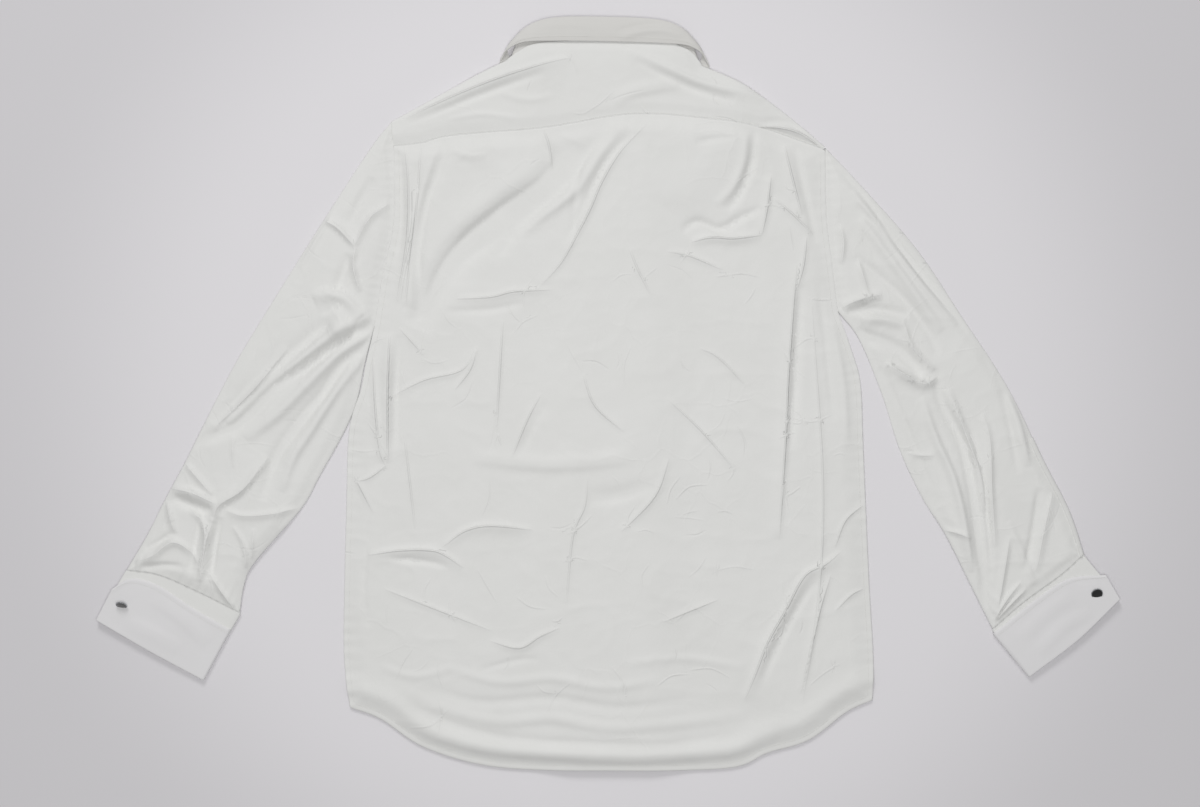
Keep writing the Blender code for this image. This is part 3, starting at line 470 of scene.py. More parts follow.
def front_height(x, y, under):
    """The underside of a front. The right front lies over the left one, with the placket between."""
    strip = 1 - ease((np.abs(x - CENTRE_X) - PLACKET_WIDTH / 2 - 9) / 45)
    neck = 1 - ease((np.hypot(x - CENTRE_X, 1.1 * (y - 338)) - 124) / 55)
    low = 2.4 * np.maximum(strip, neck)
    return low if under else np.maximum(4.3 * strip, low)


# ---------------------------------------------------------------- meshes

COTTON = "woven cotton poplin"
STIFF = "interlined cotton poplin"
# The collar's finish: cotton darkened as painted shade
SHADED_COLLAR = "collar poplin with painted shade"
THREAD = "polyester thread"
RESIN = "resin button"
ENAMEL = "black enamel"
STEEL = "polished steel"


def normals_of(grid, ring=False):
    if ring:
        across = np.roll(grid, -1, axis=1) - np.roll(grid, 1, axis=1)
    else:
        across = np.gradient(grid, axis=1)
    n = np.cross(across, np.gradient(grid, axis=0))
    return n / np.maximum(np.linalg.norm(n, axis=2, keepdims=True), 1e-9)


def quads_of(ids):
    """The corners of every face between a grid's points."""
    return np.stack([ids[:-1, :-1], ids[:-1, 1:], ids[1:, 1:], ids[1:, :-1]], axis=-1).reshape(-1, 4)


def shell(grid, wall, ring=False, upright=False):
    """(points, faces) of a closed shell behind a fine face. Its hidden side takes every GROUP-th point, and
    the rim joins the two. A ring closes its columns on themselves and stays open at both ends. An upright
    wall goes straight up, for a face that lies on the surface below."""
    rows, columns = grid.shape[:2]
    behind = np.array([0.0, 0.0, -1.0]) if upright else normals_of(grid, ring)
    inner = (grid - behind * wall)[::GROUP, ::GROUP]
    low_rows, low_columns = inner.shape[:2]
    fine = np.arange(rows * columns).reshape(rows, columns)
    coarse = rows * columns + np.arange(low_rows * low_columns).reshape(low_rows, low_columns)
    if ring:
        fine, coarse = np.hstack([fine, fine[:, :1]]), np.hstack([coarse, coarse[:, :1]])
    faces = []
    for ids, turned in ((fine, False), (coarse, True)):
        quads = quads_of(ids)
        faces += (quads[:, ::-1] if turned else quads).tolist()
    rims = [(fine[0], coarse[0], False), (fine[-1], coarse[-1], True)]
    if not ring:
        rims += [(fine[:, 0], coarse[:, 0], True), (fine[:, -1], coarse[:, -1], False)]
    for outer, low, turned in rims:
        for k in range(len(low) - 1):
            face = [low[k], low[k + 1], *outer[k * GROUP:(k + 1) * GROUP + 1][::-1]]
            faces.append([int(i) for i in (face[::-1] if turned else face)])
    return np.vstack([grid.reshape(-1, 3), inner.reshape(-1, 3)]), faces


def new_piece(name, parts, made_of, node, sharp=60, lines=()):
    """One object from (points in mm, faces) parts, riding with the shirt and standing for a CAD node. lines
    are the distance from a pressed crease and its rise, for the first part's first points."""
    mesh = bpy.data.meshes.new(name)
    points, faces, first = [], [], 0
    for part_points, part_faces in parts:
        points.append(part_points)
        faces += [[i + first for i in face] for face in part_faces]
        first += len(part_points)
    mesh.from_pydata((np.vstack(points) * MM).tolist(), [], faces)
    mesh.validate()
    mesh.shade_smooth()
    mesh.set_sharp_from_angle(angle=np.radians(sharp))
    mesh.materials.append(finish(made_of))
    for key, values in zip(("crease_away", "crease_rise"), lines):
        held = np.zeros(len(mesh.vertices), np.float32)
        held[:values.size] = values.ravel()
        mesh.attributes.new(key, "FLOAT", "POINT").data.foreach_set("value", held)
    obj = bpy.data.objects.new(name, mesh)
    bpy.context.scene.collection.objects.link(obj)
    return claim(obj, made_of, node)


def claim(obj, made_of, *nodes):
    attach(obj, "root")
    if nodes:
        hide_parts(*nodes)
    return obj


def walled(name, grid, wall, made_of, node):
    """A sheet given its wall by Solidify, on the side its faces look to."""
    mesh = bpy.data.meshes.new(name)
    ids = np.arange(grid.shape[0] * grid.shape[1]).reshape(grid.shape[:2])
    mesh.from_pydata((grid.reshape(-1, 3) * MM).tolist(), [], quads_of(ids).tolist())
    mesh.validate()
    obj = bpy.data.objects.new(name, mesh)
    bpy.context.scene.collection.objects.link(obj)
    solid = obj.modifiers.new("Wall", "SOLIDIFY")
    solid.thickness = wall * MM
    solid.offset = 1.0
    applied(obj)
    obj.data.shade_smooth()
    obj.data.set_sharp_from_angle(angle=np.radians(50))
    obj.data.materials.append(finish(made_of))
    return claim(obj, made_of, node)


def applied(obj):
    """Turns an object's modifiers into its own mesh."""
    graph = bpy.context.evaluated_depsgraph_get()
    mesh = bpy.data.meshes.new_from_object(obj.evaluated_get(graph))
    obj.modifiers.clear()
    old, obj.data = obj.data, mesh
    bpy.data.meshes.remove(old)
    return obj


def lathe(profile, centre, sides=48):
    """(points, faces) of a round solid from (radius, height) pairs, from its base to its top."""
    turn = np.linspace(0, 2 * np.pi, sides, endpoint=False)
    cos, sin = np.cos(turn), np.sin(turn)
    points = np.vstack([np.column_stack([radius * cos, radius * sin, np.full(sides, height)])
                        for radius, height in profile])
    faces = []
    for j in range(len(profile) - 1):
        for i in range(sides):
            k = (i + 1) % sides
            faces.append([j * sides + i, j * sides + k, (j + 1) * sides + k, (j + 1) * sides + i])
    faces.append(list(range(sides))[::-1])
    faces.append([(len(profile) - 1) * sides + i for i in range(sides)])
    return points + np.array([*centre, 0.0]), faces


def tipped(points, centre, angle, about):
    """Points turned about a level axis through a centre (x, y, z)."""
    c, s = np.cos(angle), np.sin(angle)
    axis = np.array([np.cos(about), np.sin(about), 0.0])
    p = points - centre
    return p * c + np.cross(axis, p) * s + np.outer(p @ axis, axis) * (1 - c) + centre


# ---------------------------------------------------------------- materials


def linear(code):
    """A #RRGGBB colour as linear light."""
    values = [int(code[i:i + 2], 16) / 255 for i in (1, 3, 5)]
    return tuple(v / 12.92 if v <= 0.04045 else ((v + 0.055) / 1.055) ** 2.4 for v in values) + (1.0,)


def add_node(tree, kind, links=None, **settings):
    """A node with its settings, and links from (node, output) pairs or plain values by input name."""
    node = tree.nodes.new(kind)
    for key, value in settings.items():
        setattr(node, key, value)
    for key, value in (links or {}).items():
        if isinstance(value, tuple) and isinstance(value[0], bpy.types.Node):
            tree.links.new(value[0].outputs[value[1]], node.inputs[key])
        else:
            node.inputs[key].default_value = value
    return node


def new_material(name):
    material = bpy.data.materials.new(name)
    material.use_nodes = True
    tree = material.node_tree
    return material, tree, tree.nodes["Principled BSDF"]


def cotton_poplin(name, colour, shade, wrinkle):
    """Plain-weave white cotton: thread relief, a slightly uneven white and the small crinkles of wear."""
    material, tree, shader = new_material(name)
    place = add_node(tree, "ShaderNodeTexCoord")
    mottle = add_node(tree, "ShaderNodeTexNoise", {"Vector": (place, "Object"), "Scale": 14.0, "Detail": 4.0,
                                                   "Roughness": 0.6})
    tone = add_node(tree, "ShaderNodeValToRGB", {"Fac": (mottle, "Fac")})
    tone.color_ramp.elements[0].position, tone.color_ramp.elements[1].position = 0.3, 0.7
    tone.color_ramp.elements[0].color, tone.color_ramp.elements[1].color = shade, colour
    tree.links.new(tone.outputs["Color"], shader.inputs["Base Color"])
    shader.inputs["Roughness"].default_value = 0.88
    shader.inputs["Specular IOR Level"].default_value = 0.25
    shader.inputs["Sheen Weight"].default_value = 0.12
    shader.inputs["Sheen Roughness"].default_value = 0.5
    # Warp and weft, 0.45 mm apart: coarser than real thread, which is too fine to show
    warp = add_node(tree, "ShaderNodeTexWave", {"Vector": (place, "Object"), "Scale": 698.0},
                    bands_direction="X")
    weft = add_node(tree, "ShaderNodeTexWave", {"Vector": (place, "Object"), "Scale": 698.0},
                    bands_direction="Y")
    cloth = add_node(tree, "ShaderNodeMath", {0: (warp, "Fac"), 1: (weft, "Fac")}, operation="MULTIPLY")
    # Crinkles 5 to 30 mm across
    fine = add_node(tree, "ShaderNodeTexNoise", {"Vector": (place, "Object"), "Scale": 42.0, "Detail": 5.0,
                                                 "Roughness": 0.55, "Distortion": 0.6})
    # Sharp thin creases that meet at corners, in patches
    fading = {"From Min": 0.0, "To Min": 1.0, "To Max": 0.0}
    wander = add_node(tree, "ShaderNodeTexNoise", {"Vector": (place, "Object"), "Scale": 28.0, "Detail": 2.0})
    bent = add_node(tree, "ShaderNodeVectorMath",
                    {0: (wander, "Color"), 1: (0.03, 0.03, 0.03), 2: (place, "Object")},
                    operation="MULTIPLY_ADD")
    cells = add_node(tree, "ShaderNodeTexVoronoi", {"Vector": (bent, "Vector"), "Scale": 21.0},
                     feature="DISTANCE_TO_EDGE")
    thin = add_node(tree, "ShaderNodeMapRange", {"Value": (cells, "Distance"), **fading, "From Max": 0.05},
                    interpolation_type="SMOOTHSTEP")
    cloud = add_node(tree, "ShaderNodeTexNoise", {"Vector": (bent, "Vector"), "Scale": 11.0, "Detail": 1.0})
    patches = add_node(tree, "ShaderNodeMapRange",
                       {"Value": (cloud, "Fac"), "From Min": 0.5, "From Max": 0.7})
    lines = add_node(tree, "ShaderNodeMath", {0: (thin, "Result"), 1: (patches, "Result")},
                     operation="MULTIPLY")
    # The line along each pressed crease, from its distance held on the mesh
    away = add_node(tree, "ShaderNodeAttribute", attribute_name="crease_away")
    rise = add_node(tree, "ShaderNodeAttribute", attribute_name="crease_rise")
    off = add_node(tree, "ShaderNodeMath", {0: (away, "Fac")}, operation="ABSOLUTE")
    ridge = add_node(tree, "ShaderNodeMapRange", {"Value": (off, "Value"), **fading, "From Max": 1.7},
                     interpolation_type="SMOOTHSTEP")
    line = add_node(tree, "ShaderNodeMath", {0: (ridge, "Result"), 1: (rise, "Fac")}, operation="MULTIPLY")
    # Each relief with its strength and its height in mm
    normal = None
    for height, strength, distance in (((fine, "Fac"), 0.6, wrinkle), ((lines, "Value"), 0.28, wrinkle),
                                       ((line, "Value"), 1.0, 1.0), ((cloth, "Value"), 0.5, 0.04)):
        links = {"Height": height, "Strength": strength, "Distance": distance * MM}
        if normal:
            links["Normal"] = (normal, "Normal")
        normal = add_node(tree, "ShaderNodeBump", links)
    tree.links.new(normal.outputs["Normal"], shader.inputs["Normal"])
    return material


def plain(name, colour, roughness, metallic=0.0, coat=0.0, grain_scale=400.0):
    """A smooth finish with a faint unevenness of tone: polished steel, enamel, resin or thread."""
    material, tree, shader = new_material(name)
    shader.inputs["Roughness"].default_value = roughness
    shader.inputs["Metallic"].default_value = metallic
    shader.inputs["Coat Weight"].default_value = coat
    shader.inputs["Coat Roughness"].default_value = 0.05
    place = add_node(tree, "ShaderNodeTexCoord")
    cloud = add_node(tree, "ShaderNodeTexNoise", {"Vector": (place, "Object"), "Scale": grain_scale,
                                                  "Detail": 3.0})
    tone = add_node(tree, "ShaderNodeValToRGB", {"Fac": (cloud, "Fac")})
    tone.color_ramp.elements[0].color = tuple(0.86 * c for c in colour[:3]) + (1.0,)
    tone.color_ramp.elements[1].color = colour
    tree.links.new(tone.outputs["Color"], shader.inputs["Base Color"])
    return material


def finish(name):
    """Each finish is made once, from the colours in the panel."""
    made = bpy.data.materials.get(name)
    if made:
        return made
    colours = bpy.context.scene.shirt_colours
    white, thread = tuple(colours.cotton) + (1.0,), tuple(colours.thread) + (1.0,)
    shade = tuple(c * k for c, k in zip(white, (0.975, 0.975, 0.972))) + (1.0,)
    if name == COTTON:
        return cotton_poplin(name, white, shade, 0.62)
    # Two layers and their stiffening lie flatter and look a little greyer. The collar is made much darker
    # still, as painted shade for a leaf turned away from the light.
    stiffened_or_shaded = {STIFF: (0.98, 0.97, 1.0), SHADED_COLLAR: (0.86, 0.85, 0.84)}
    if name in stiffened_or_shaded:
        grey = [tuple(c * k for c, k in zip(tone, stiffened_or_shaded[name])) + (1.0,) for tone in (white, shade)]
        return cotton_poplin(name, *grey, 0.16)
    if name == THREAD:
        return plain(name, thread, 0.6)
    if name == RESIN:
        return plain(name, tuple(colours.button) + (1.0,), 0.25, coat=0.5, grain_scale=90.0)
    if name == ENAMEL:
        return plain(name, tuple(colours.enamel) + (1.0,), 0.12, coat=1.0, grain_scale=60.0)
    if name == STEEL:
        return plain(name, tuple(colours.steel) + (1.0,), 0.18, metallic=1.0, grain_scale=300.0)
    raise ValueError(name)


# ---------------------------------------------------------------- seams and stitches


def beside(x, y, line):
    """How far each plan point is from a line, and how far along the line it is."""
    best, along, run = np.full(x.shape, 1e9), np.zeros_like(x), 0.0
    for a, b in zip(line[:-1], line[1:]):
        d = b - a
        length = np.hypot(*d)
        t = np.clip(((x - a[0]) * d[0] + (y - a[1]) * d[1]) / (length * length), 0, 1)
        away = np.hypot(x - a[0] - t * d[0], y - a[1] - t * d[1])
        closer = away < best
        best, along = np.where(closer, away, best), np.where(closer, run + t * length, along)
        run += length
    return best, along


def rounded(away, radius):
    """0 inside, 1 at an edge, along a quarter circle."""
    return 1 - np.sqrt(1 - (1 - np.clip(away / radius, 0, 1)) ** 2)


def inset(line, distance):
    """A plan line moved to its left by a distance, with its ends drawn in by as much."""
    way = np.gradient(line, axis=0)
    way /= np.linalg.norm(way, axis=1, keepdims=True)
    moved = line + np.stack([-way[:, 1], way[:, 0]], axis=1) * distance
    share = abs(distance) / length_of(line)
    return spread(moved, np.linspace(share, 1 - share, len(line)))


def lifted(line, grid):
    """A plan line laid on a surface, a little above it."""
    line = spread(line, shares_for(length_of(line), 2.0))
    points = grid.reshape(-1, 3)
    heights = []
    for x, y in line[:, :2]:
        apart = np.hypot(points[:, 0] - x, points[:, 1] - y)
        near = np.argpartition(apart, 4)[:4]
        weight = 1 / (apart[near] + 0.05)
        heights.append((points[near, 2] * weight).sum() / weight.sum())
    return np.column_stack([line[:, :2], np.array(heights) + STITCH_LIFT])


def group_input(tree, name, kind, default=None):
    socket = tree.interface.new_socket(name, in_out="INPUT", socket_type=kind)
    if default is not None:
        socket.default_value = default
    return socket


def new_group(name, inputs):
    """A geometry tree with its named inputs: (tree, group input node, {name: socket identifier})."""
    tree = bpy.data.node_groups.new(name, "GeometryNodeTree")
    group_input(tree, "Geometry", "NodeSocketGeometry")
    tree.interface.new_socket("Geometry", in_out="OUTPUT", socket_type="NodeSocketGeometry")
    sockets = {key: group_input(tree, key, kind, value).identifier for key, kind, value in inputs}
    return tree, tree.nodes.new("NodeGroupInput"), sockets


def close_group(tree, start, last):
    """Ends a tree in real geometry with its material set."""
    real = add_node(tree, "GeometryNodeRealizeInstances", {"Geometry": last})
    smooth_faces = add_node(tree, "GeometryNodeSetShadeSmooth", {"Geometry": (real, "Geometry")})
    coloured = add_node(tree, "GeometryNodeSetMaterial",
                        {"Geometry": (smooth_faces, "Geometry"), "Material": (start, "Material")})
    end = tree.nodes.new("NodeGroupOutput")
    tree.links.new(coloured.outputs["Geometry"], end.inputs["Geometry"])
    return tree


def stitch_tree():
    """Stitches along loose edges: a small flattened bead of thread for each, with a little unevenness."""
    tree, start, sockets = new_group("Lockstitch", [
        ("Pitch", "NodeSocketFloat", 2.4 * MM), ("Length", "NodeSocketFloat", 1.7 * MM),
        ("Thread", "NodeSocketFloat", 0.4 * MM), ("Seed", "NodeSocketInt", 3),
        ("Material", "NodeSocketMaterial", None),
    ])
    curve = add_node(tree, "GeometryNodeMeshToCurve", {"Mesh": (start, "Geometry")})
    even = add_node(tree, "GeometryNodeResampleCurve",
                    {"Curve": (curve, "Curve"), "Length": (start, "Pitch")}, mode="LENGTH")
    half_length = add_node(tree, "ShaderNodeMath", {0: (start, "Length"), 1: 0.5}, operation="MULTIPLY")
    half_thread = add_node(tree, "ShaderNodeMath", {0: (start, "Thread"), 1: 0.5}, operation="MULTIPLY")
    size = add_node(tree, "ShaderNodeCombineXYZ", {"X": (half_length, "Value"), "Y": (half_thread, "Value"),
                                                   "Z": (half_thread, "Value")})
    bead = add_node(tree, "GeometryNodeMeshUVSphere", {"Segments": 6, "Rings": 4, "Radius": 1.0})
    shaped = add_node(tree, "GeometryNodeTransform", {"Geometry": (bead, "Mesh"), "Scale": (size, "Vector")})
    along = add_node(tree, "GeometryNodeInputTangent")
    turn = add_node(tree, "FunctionNodeAlignRotationToVector", {"Vector": (along, "Tangent")}, axis="X")
    uneven = add_node(tree, "FunctionNodeRandomValue", {"Seed": (start, "Seed")}, data_type="FLOAT_VECTOR")
    uneven.inputs["Min"].default_value = (0.88, 0.85, 0.85)
    uneven.inputs["Max"].default_value = (1.12, 1.1, 1.1)
    placed = add_node(tree, "GeometryNodeInstanceOnPoints", {
        "Points": (even, "Curve"), "Instance": (shaped, "Geometry"), "Rotation": (turn, "Rotation"),
        "Scale": (uneven, "Value"),
    })
    return close_group(tree, start, (placed, "Instances")), sockets


def row_tree():
    """A copy of one object at each point."""
    tree, start, sockets = new_group("Button row", [
        ("Button", "NodeSocketObject", None), ("Seed", "NodeSocketInt", 5),
        ("Material", "NodeSocketMaterial", None),
    ])
    shape = add_node(tree, "GeometryNodeObjectInfo", {"Object": (start, "Button")})
    turn = add_node(tree, "FunctionNodeRandomValue", {"Seed": (start, "Seed")}, data_type="FLOAT_VECTOR")
    turn.inputs["Min"].default_value, turn.inputs["Max"].default_value = (0, 0, -0.6), (0, 0, 0.6)
    placed = add_node(tree, "GeometryNodeInstanceOnPoints", {
        "Points": (start, "Geometry"), "Instance": (shape, "Geometry"), "Rotation": (turn, "Value"),
    })
    return close_group(tree, start, (placed, "Instances")), sockets


def grown(name, points, edges, tree_and_sockets, values):
    """The plain mesh that a geometry tree makes from points and edges, both in mm."""
    tree, sockets = tree_and_sockets
    mesh = bpy.data.meshes.new(name)
    mesh.from_pydata((points * MM).tolist(), edges, [])
    obj = bpy.data.objects.new(name, mesh)
    bpy.context.scene.collection.objects.link(obj)
    nodes = obj.modifiers.new("Grown", "NODES")
    nodes.node_group = tree
    for key, value in values.items():
        nodes[sockets[key]] = value
    return applied(obj)


def stitched(name, lines):
    """One piece of thread along every given line of (x, y, z) points."""
    sizes = bpy.context.scene.shirt_sizes
    points, edges, first = np.vstack(lines), [], 0
    for line in lines:
        edges += [(first + i, first + i + 1) for i in range(len(line) - 1)]
        first += len(line)
    obj = grown(name, points, edges, stitch_tree(), {
        "Pitch": sizes.stitch_pitch, "Length": sizes.stitch_pitch * 0.72, "Thread": sizes.thread,
        "Seed": 3, "Material": finish(THREAD),
    })
    return claim(obj, THREAD)


# ---------------------------------------------------------------- the pieces' surfaces

EDGE_ROWS = (0.3, 0.8, 1.5)
ARMHOLE_HEIGHT = 2.6


def size_of(name):
    """A panel size in mm."""
    return getattr(bpy.context.scene.shirt_sizes, name) / MM


def cached(make):
    """Keeps a surface once it is worked out."""
    kept = {}

    def again(*names):
        if names not in kept:
            kept[names] = make(*names)
        return kept[names]

    return again


def body_edges():
    """The plan edges of the back: hem, yoke seam, left side and right side with their armholes."""
    left = np.vstack([smooth(SIDE_LEFT[::-1])[:-1], smooth(ARMHOLE_LEFT[:0:-1])])
    right = np.vstack([smooth(SIDE_RIGHT[::-1])[:-1], smooth(ARMHOLE_RIGHT[::-1])])
    top = smooth(YOKE_SEAM) - (0.0, 0.03)
    left[-1], right[-1] = top[0], top[-1]
    return smooth(HEM), top, left, right


def cloth_noise(x, y, seed, wave=0.7, facet=0.45):
    """The shallow unevenness of pressed cotton that has been worn, in mm."""
    return (wave * drift(x, y, 120, seed) + 0.5 * wave * drift(x, y, 52, seed + 7)
            + facet * crumple(x, y, 46, seed + 11) + 0.5 * facet * crumple(x, y, 21, seed + 17)
            + 0.16 * drift(x, y, 11, seed + 23))


@cached
def back_surface():
    """The top of the back: creases, pleats at the yoke and a stitched tail."""
    hem, top, left, right = body_edges()
    u, v = shares_for(562, 2.25, GROUP, EDGE_ROWS), shares_for(705, 2.25, GROUP, EDGE_ROWS)
    plan = patch(hem, top, left, right, u, v)
    x, y = plan[..., 0], plan[..., 1]
    cloth = size_of("cloth")
    to_hem, along_hem = beside(x, y, hem)
    to_seam, along_seam = beside(x, y, top)
    to_left, along_left = beside(x, y, left)
    to_right, along_right = beside(x, y, right)
    sides = np.minimum(to_left, to_right)
    border = np.minimum(np.minimum(to_hem / 26, to_seam / 20), sides / 26)
    floor = over_fronts(x, y) + cloth
    z = floor + 3.4 * ease(border) + creased(x, y, BACK_CREASES) * ease(2.6 * border)
    z += cloth_noise(x, y, 5) * ease(2.2 * border)
    z += puckers(along_seam, to_seam, 15.0, 0.22, 14, 31) + 2.6 * np.exp(-(((to_hem - 23) / 11.5) ** 2))
    z += puckers(along_left, to_left, 14.0, 0.55, 13, 37) + puckers(along_right, to_right, 14.0, 0.45, 12, 41)
    z += 0.25 + puckers(along_hem, to_hem, 4.6, 0.16, 5, 43) + stitched_edge(to_hem, size_of("hem"))
    z = above(z, floor + 0.05)
    z -= 0.9 * rounded(to_hem, 1.6) + 0.9 * ease((92 - y) / 30) * rounded(sides, 1.6)
    z = joined(z, floor + 0.25, to_seam)
    return np.dstack([plan, np.where(y > 62, joined(z, ARMHOLE_HEIGHT, sides), z)])


@cached
def yoke_surface():
    """The top of the yoke, from its seam to the shoulders and the neck."""
    shoulder_left, shoulder_right = smooth(SHOULDER_LEFT), smooth(SHOULDER_RIGHT)
    top = np.vstack([shoulder_left[:-1], smooth(NECK_BACK)[:-1], shoulder_right])
    bottom = smooth(YOKE_SEAM)
    u, v = shares_for(500, 1.8, GROUP, EDGE_ROWS), shares_for(92, 1.7, GROUP, EDGE_ROWS)
    low, high = spread(bottom, u), spread(top, u)
    plan = low[None] * (1 - v[:, None, None]) + high[None] * v[:, None, None]
    x, y = plan[..., 0], plan[..., 1]
    cloth = size_of("cloth")
    to_seam, along_seam = beside(x, y, bottom)
    to_neck = beside(x, y, smooth(NECK_BACK))[0]
    to_shoulder = np.minimum(beside(x, y, shoulder_left)[0], beside(x, y, shoulder_right)[0])
    climb = 2.6 * ease(1 - (368 - y) / 45) * ease(1 - (np.abs(x) - 70) / 35)
    border = np.minimum(np.minimum(to_seam / 14, to_neck / 12), to_shoulder / 16)
    floor = over_fronts(x, y) + climb + cloth
    z = floor + 1.8 * ease(border) + creased(x, y, YOKE_CREASES) * ease(2.4 * border)
    z += 0.6 * cloth_noise(x, y, 61) * ease(2 * border)
    z += 0.3 + puckers(along_seam, to_seam, 8.0, 0.22, 6, 71) + stitched_edge(to_seam, 1.8, 0.25)
    z = above(z, floor + 0.05)
    z -= 0.4 * rounded(to_neck, 1.4)
    z = joined(z, over_fronts(x, y) + cloth + 0.25, to_seam)
    z -= (z - front_height(x, y, True) - 1.3) * rounded(to_shoulder, 3.0)
    return np.dstack([plan, z])


def yoke_flaps():
    """The yoke's turns round the shoulders to the front, facing the surface the shirt lies on."""
    flaps, depth = [], 35.5
    for shoulder, neck_end in ((smooth(SHOULDER_LEFT), -1), (smooth(SHOULDER_RIGHT), 0)):
        line = spread(shoulder, shares_for(length_of(shoulder), 4, GROUP))
        way = line[-1] - line[0]
        way /= np.hypot(*way)
        reach = shares_for(depth, 4, GROUP)
        drawn = np.linspace(0, 1, len(line)) ** 2 if neck_end else np.linspace(1, 0, len(line)) ** 2
        outward = depth * reach[:, None, None] + 0.6
        towards_neck = 5.0 * (neck_end or 1) * np.minimum(2 * reach, 1)[:, None] * drawn[None]
        plan = line[None] + np.array([way[1], -way[0]]) * outward + way * towards_neck[..., None]
        x, y = plan[..., 0], plan[..., 1]
        z = front_height(x, y, True) + 0.12 + 0.2 * crumple(x, y, 24, 83)
        flaps.append(np.dstack([plan, z]))
    return flaps


def front_surface(side):
    """The underside of a front, from its armhole and shoulder seam to the centre."""
    left = side == "left"
    sign = -1 if left else 1
    edge = CENTRE_X - PLACKET_WIDTH / 2 + (-0.3 if left else 4.0)
    shoulder = np.array(SHOULDER_LEFT if left else SHOULDER_RIGHT[::-1], float)
    way = (shoulder[-1] - shoulder[0]) * (1 if left else -1)
    way /= np.hypot(*way)
    seam = shoulder + np.array([way[1], -way[0]]) * 37.8
    stand = (np.array(STAND_SEAM) if left else right_half(STAND_SEAM))[5:, :2]
    neck = [(px + sign * 0.5, py - 1.8) for px, py in stand if py < 325 and sign * px > sign * edge + 8]
    neck_point = (edge, stand[-1, 1] - 1.8)
    top = np.vstack([smooth(seam)[:-1], smooth([seam[-1], *neck, neck_point])])
    hem = smooth(HEM) + (0.0, FRONT_HEM_RISE)
    middle_y = hem[np.abs(hem[:, 0] - edge).argmin(), 1]
    own = hem[sign * (hem[:, 0] - edge) > 2]
    bottom = np.vstack([own if left else own[::-1], [(edge, middle_y)]])
    sides, armhole = (SIDE_LEFT, ARMHOLE_LEFT) if left else (SIDE_RIGHT, ARMHOLE_RIGHT)
    arm = smooth(armhole[::-1])
    rise = smooth(sides[::-1])[:-1]
    outer = np.vstack([bottom[:1], rise[rise[:, 1] > bottom[0, 1] + 3], arm[arm[:, 1] < seam[0, 1] - 9],
                       seam[:1]])
    inner = np.array([(edge, middle_y), neck_point])
    u, v = shares_for(290, 4, GROUP), shares_for(700, 4, GROUP)
    if left:
        plan = patch(bottom, top, outer, inner, u, v)
    else:
        plan = patch(bottom[::-1], top[::-1], inner, outer, u, v)
    x, y = plan[..., 0], plan[..., 1]
    to_hem = beside(x, y, bottom)[0]
    z = front_height(x, y, left) + 0.08 + 0.42 * crumple(x, y, 58, 91) + 0.2 * crumple(x, y, 23, 97)
    z += 0.12 * (1 - ease(np.abs(to_hem - size_of("hem")) / 1.5))
    return np.dstack([plan, z])


Sleeve = namedtuple("Sleeve", "outer inner armhole cuff creases gap seed")
SLEEVES = {
    "left": Sleeve(SLEEVE_LEFT_OUTER, SLEEVE_LEFT_INNER, ARMHOLE_LEFT, CUFF_SEAM_LEFT, SLEEVE_LEFT_CREASES,
                   -0.04, 101),
    "right": Sleeve(SLEEVE_RIGHT_OUTER, SLEEVE_RIGHT_INNER, ARMHOLE_RIGHT, CUFF_SEAM_RIGHT,
                    SLEEVE_RIGHT_CREASES, 0.04, 131),
}
TOP_COLUMNS = 111
UNDER_COLUMNS = 24


@cached
def sleeve_surface(side):
    """A flattened sleeve, by rows to the cuff: TOP_COLUMNS points over it and UNDER_COLUMNS under it."""
    s = SLEEVES[side]
    cloth = size_of("cloth")
    start, end = smooth(s.armhole) + (s.gap, 0.0), smooth(s.cuff)
    outside, inside = smooth(s.outer) + (s.gap, 0.0), smooth(s.inner) + (s.gap, 0.0)
    outside[-1], inside[-1] = end[0], end[-1]
    outside[0], inside[0] = start[0], start[-1]
    v = shares_for(560, 1.9, GROUP, EDGE_ROWS)
    even = np.linspace(0, 1, TOP_COLUMNS)
    over = even - 0.09 * np.sin(2 * np.pi * even)
    under = np.linspace(1, 0, UNDER_COLUMNS + 2)[1:-1]
    top = patch(start, end, outside, inside, over, v)
    low = patch(start, end, outside, inside, under[::-1], v)[:, ::-1]
    rings = []
    for plan, upper in ((top, True), (low, False)):
        x, y = plan[..., 0], plan[..., 1]
        u = (over if upper else under)[None, :]
        rest = (1 - v)[:, None]
        at_cuff, at_placket = ease(1 - rest / 0.12), ease(1 - (rest - 0.29) / 0.12)
        base = 0.1 + 1.6 * at_placket + 2.4 * (1 - u) * at_cuff
        to_side = np.minimum(beside(x, y, outside)[0], beside(x, y, inside)[0])
        to_start, along_start = beside(x, y, start)
        to_end, along_end = beside(x, y, end)
        middle = base + cloth + 0.1
        if upper:
            border = np.minimum(np.minimum(to_side / 16, to_end / 14), to_start / 16)
            flat = base + 2 * cloth + 0.3
            z = flat + 3.2 * ease(border) + 0.6 * at_placket
            z += 1.3 * creased(x, y, s.creases) * ease(2.4 * border)
            z += cloth_noise(x, y, s.seed, 0.8, 0.5) * ease(2 * border)
            z += puckers(along_end, to_end, 9.5, 0.9, 24, s.seed + 3) * ease(to_side / 12)
            z += 0.2 + puckers(along_start, to_start, 10.0, 0.45, 12, s.seed + 5)
            z = above(z, flat + 0.05)
            z = joined(z, ARMHOLE_HEIGHT, to_start)
            z = joined(z + 0.8 * ease(1 - to_end / 9), flat + 0.85, to_end)
            z = middle + (z - middle) * (1 - rounded(to_side, 4.5))
        else:
            z = base + 0.3 * crumple(x, y, 30, s.seed + 9) * ease(to_side / 14)
            z = middle + (z - middle) * (1 - rounded(to_side, 3.0))
        rings.append(np.dstack([plan, z]))
    ring = np.concatenate(rings, axis=1)
    return ring[:, ::-1] if side == "left" else ring


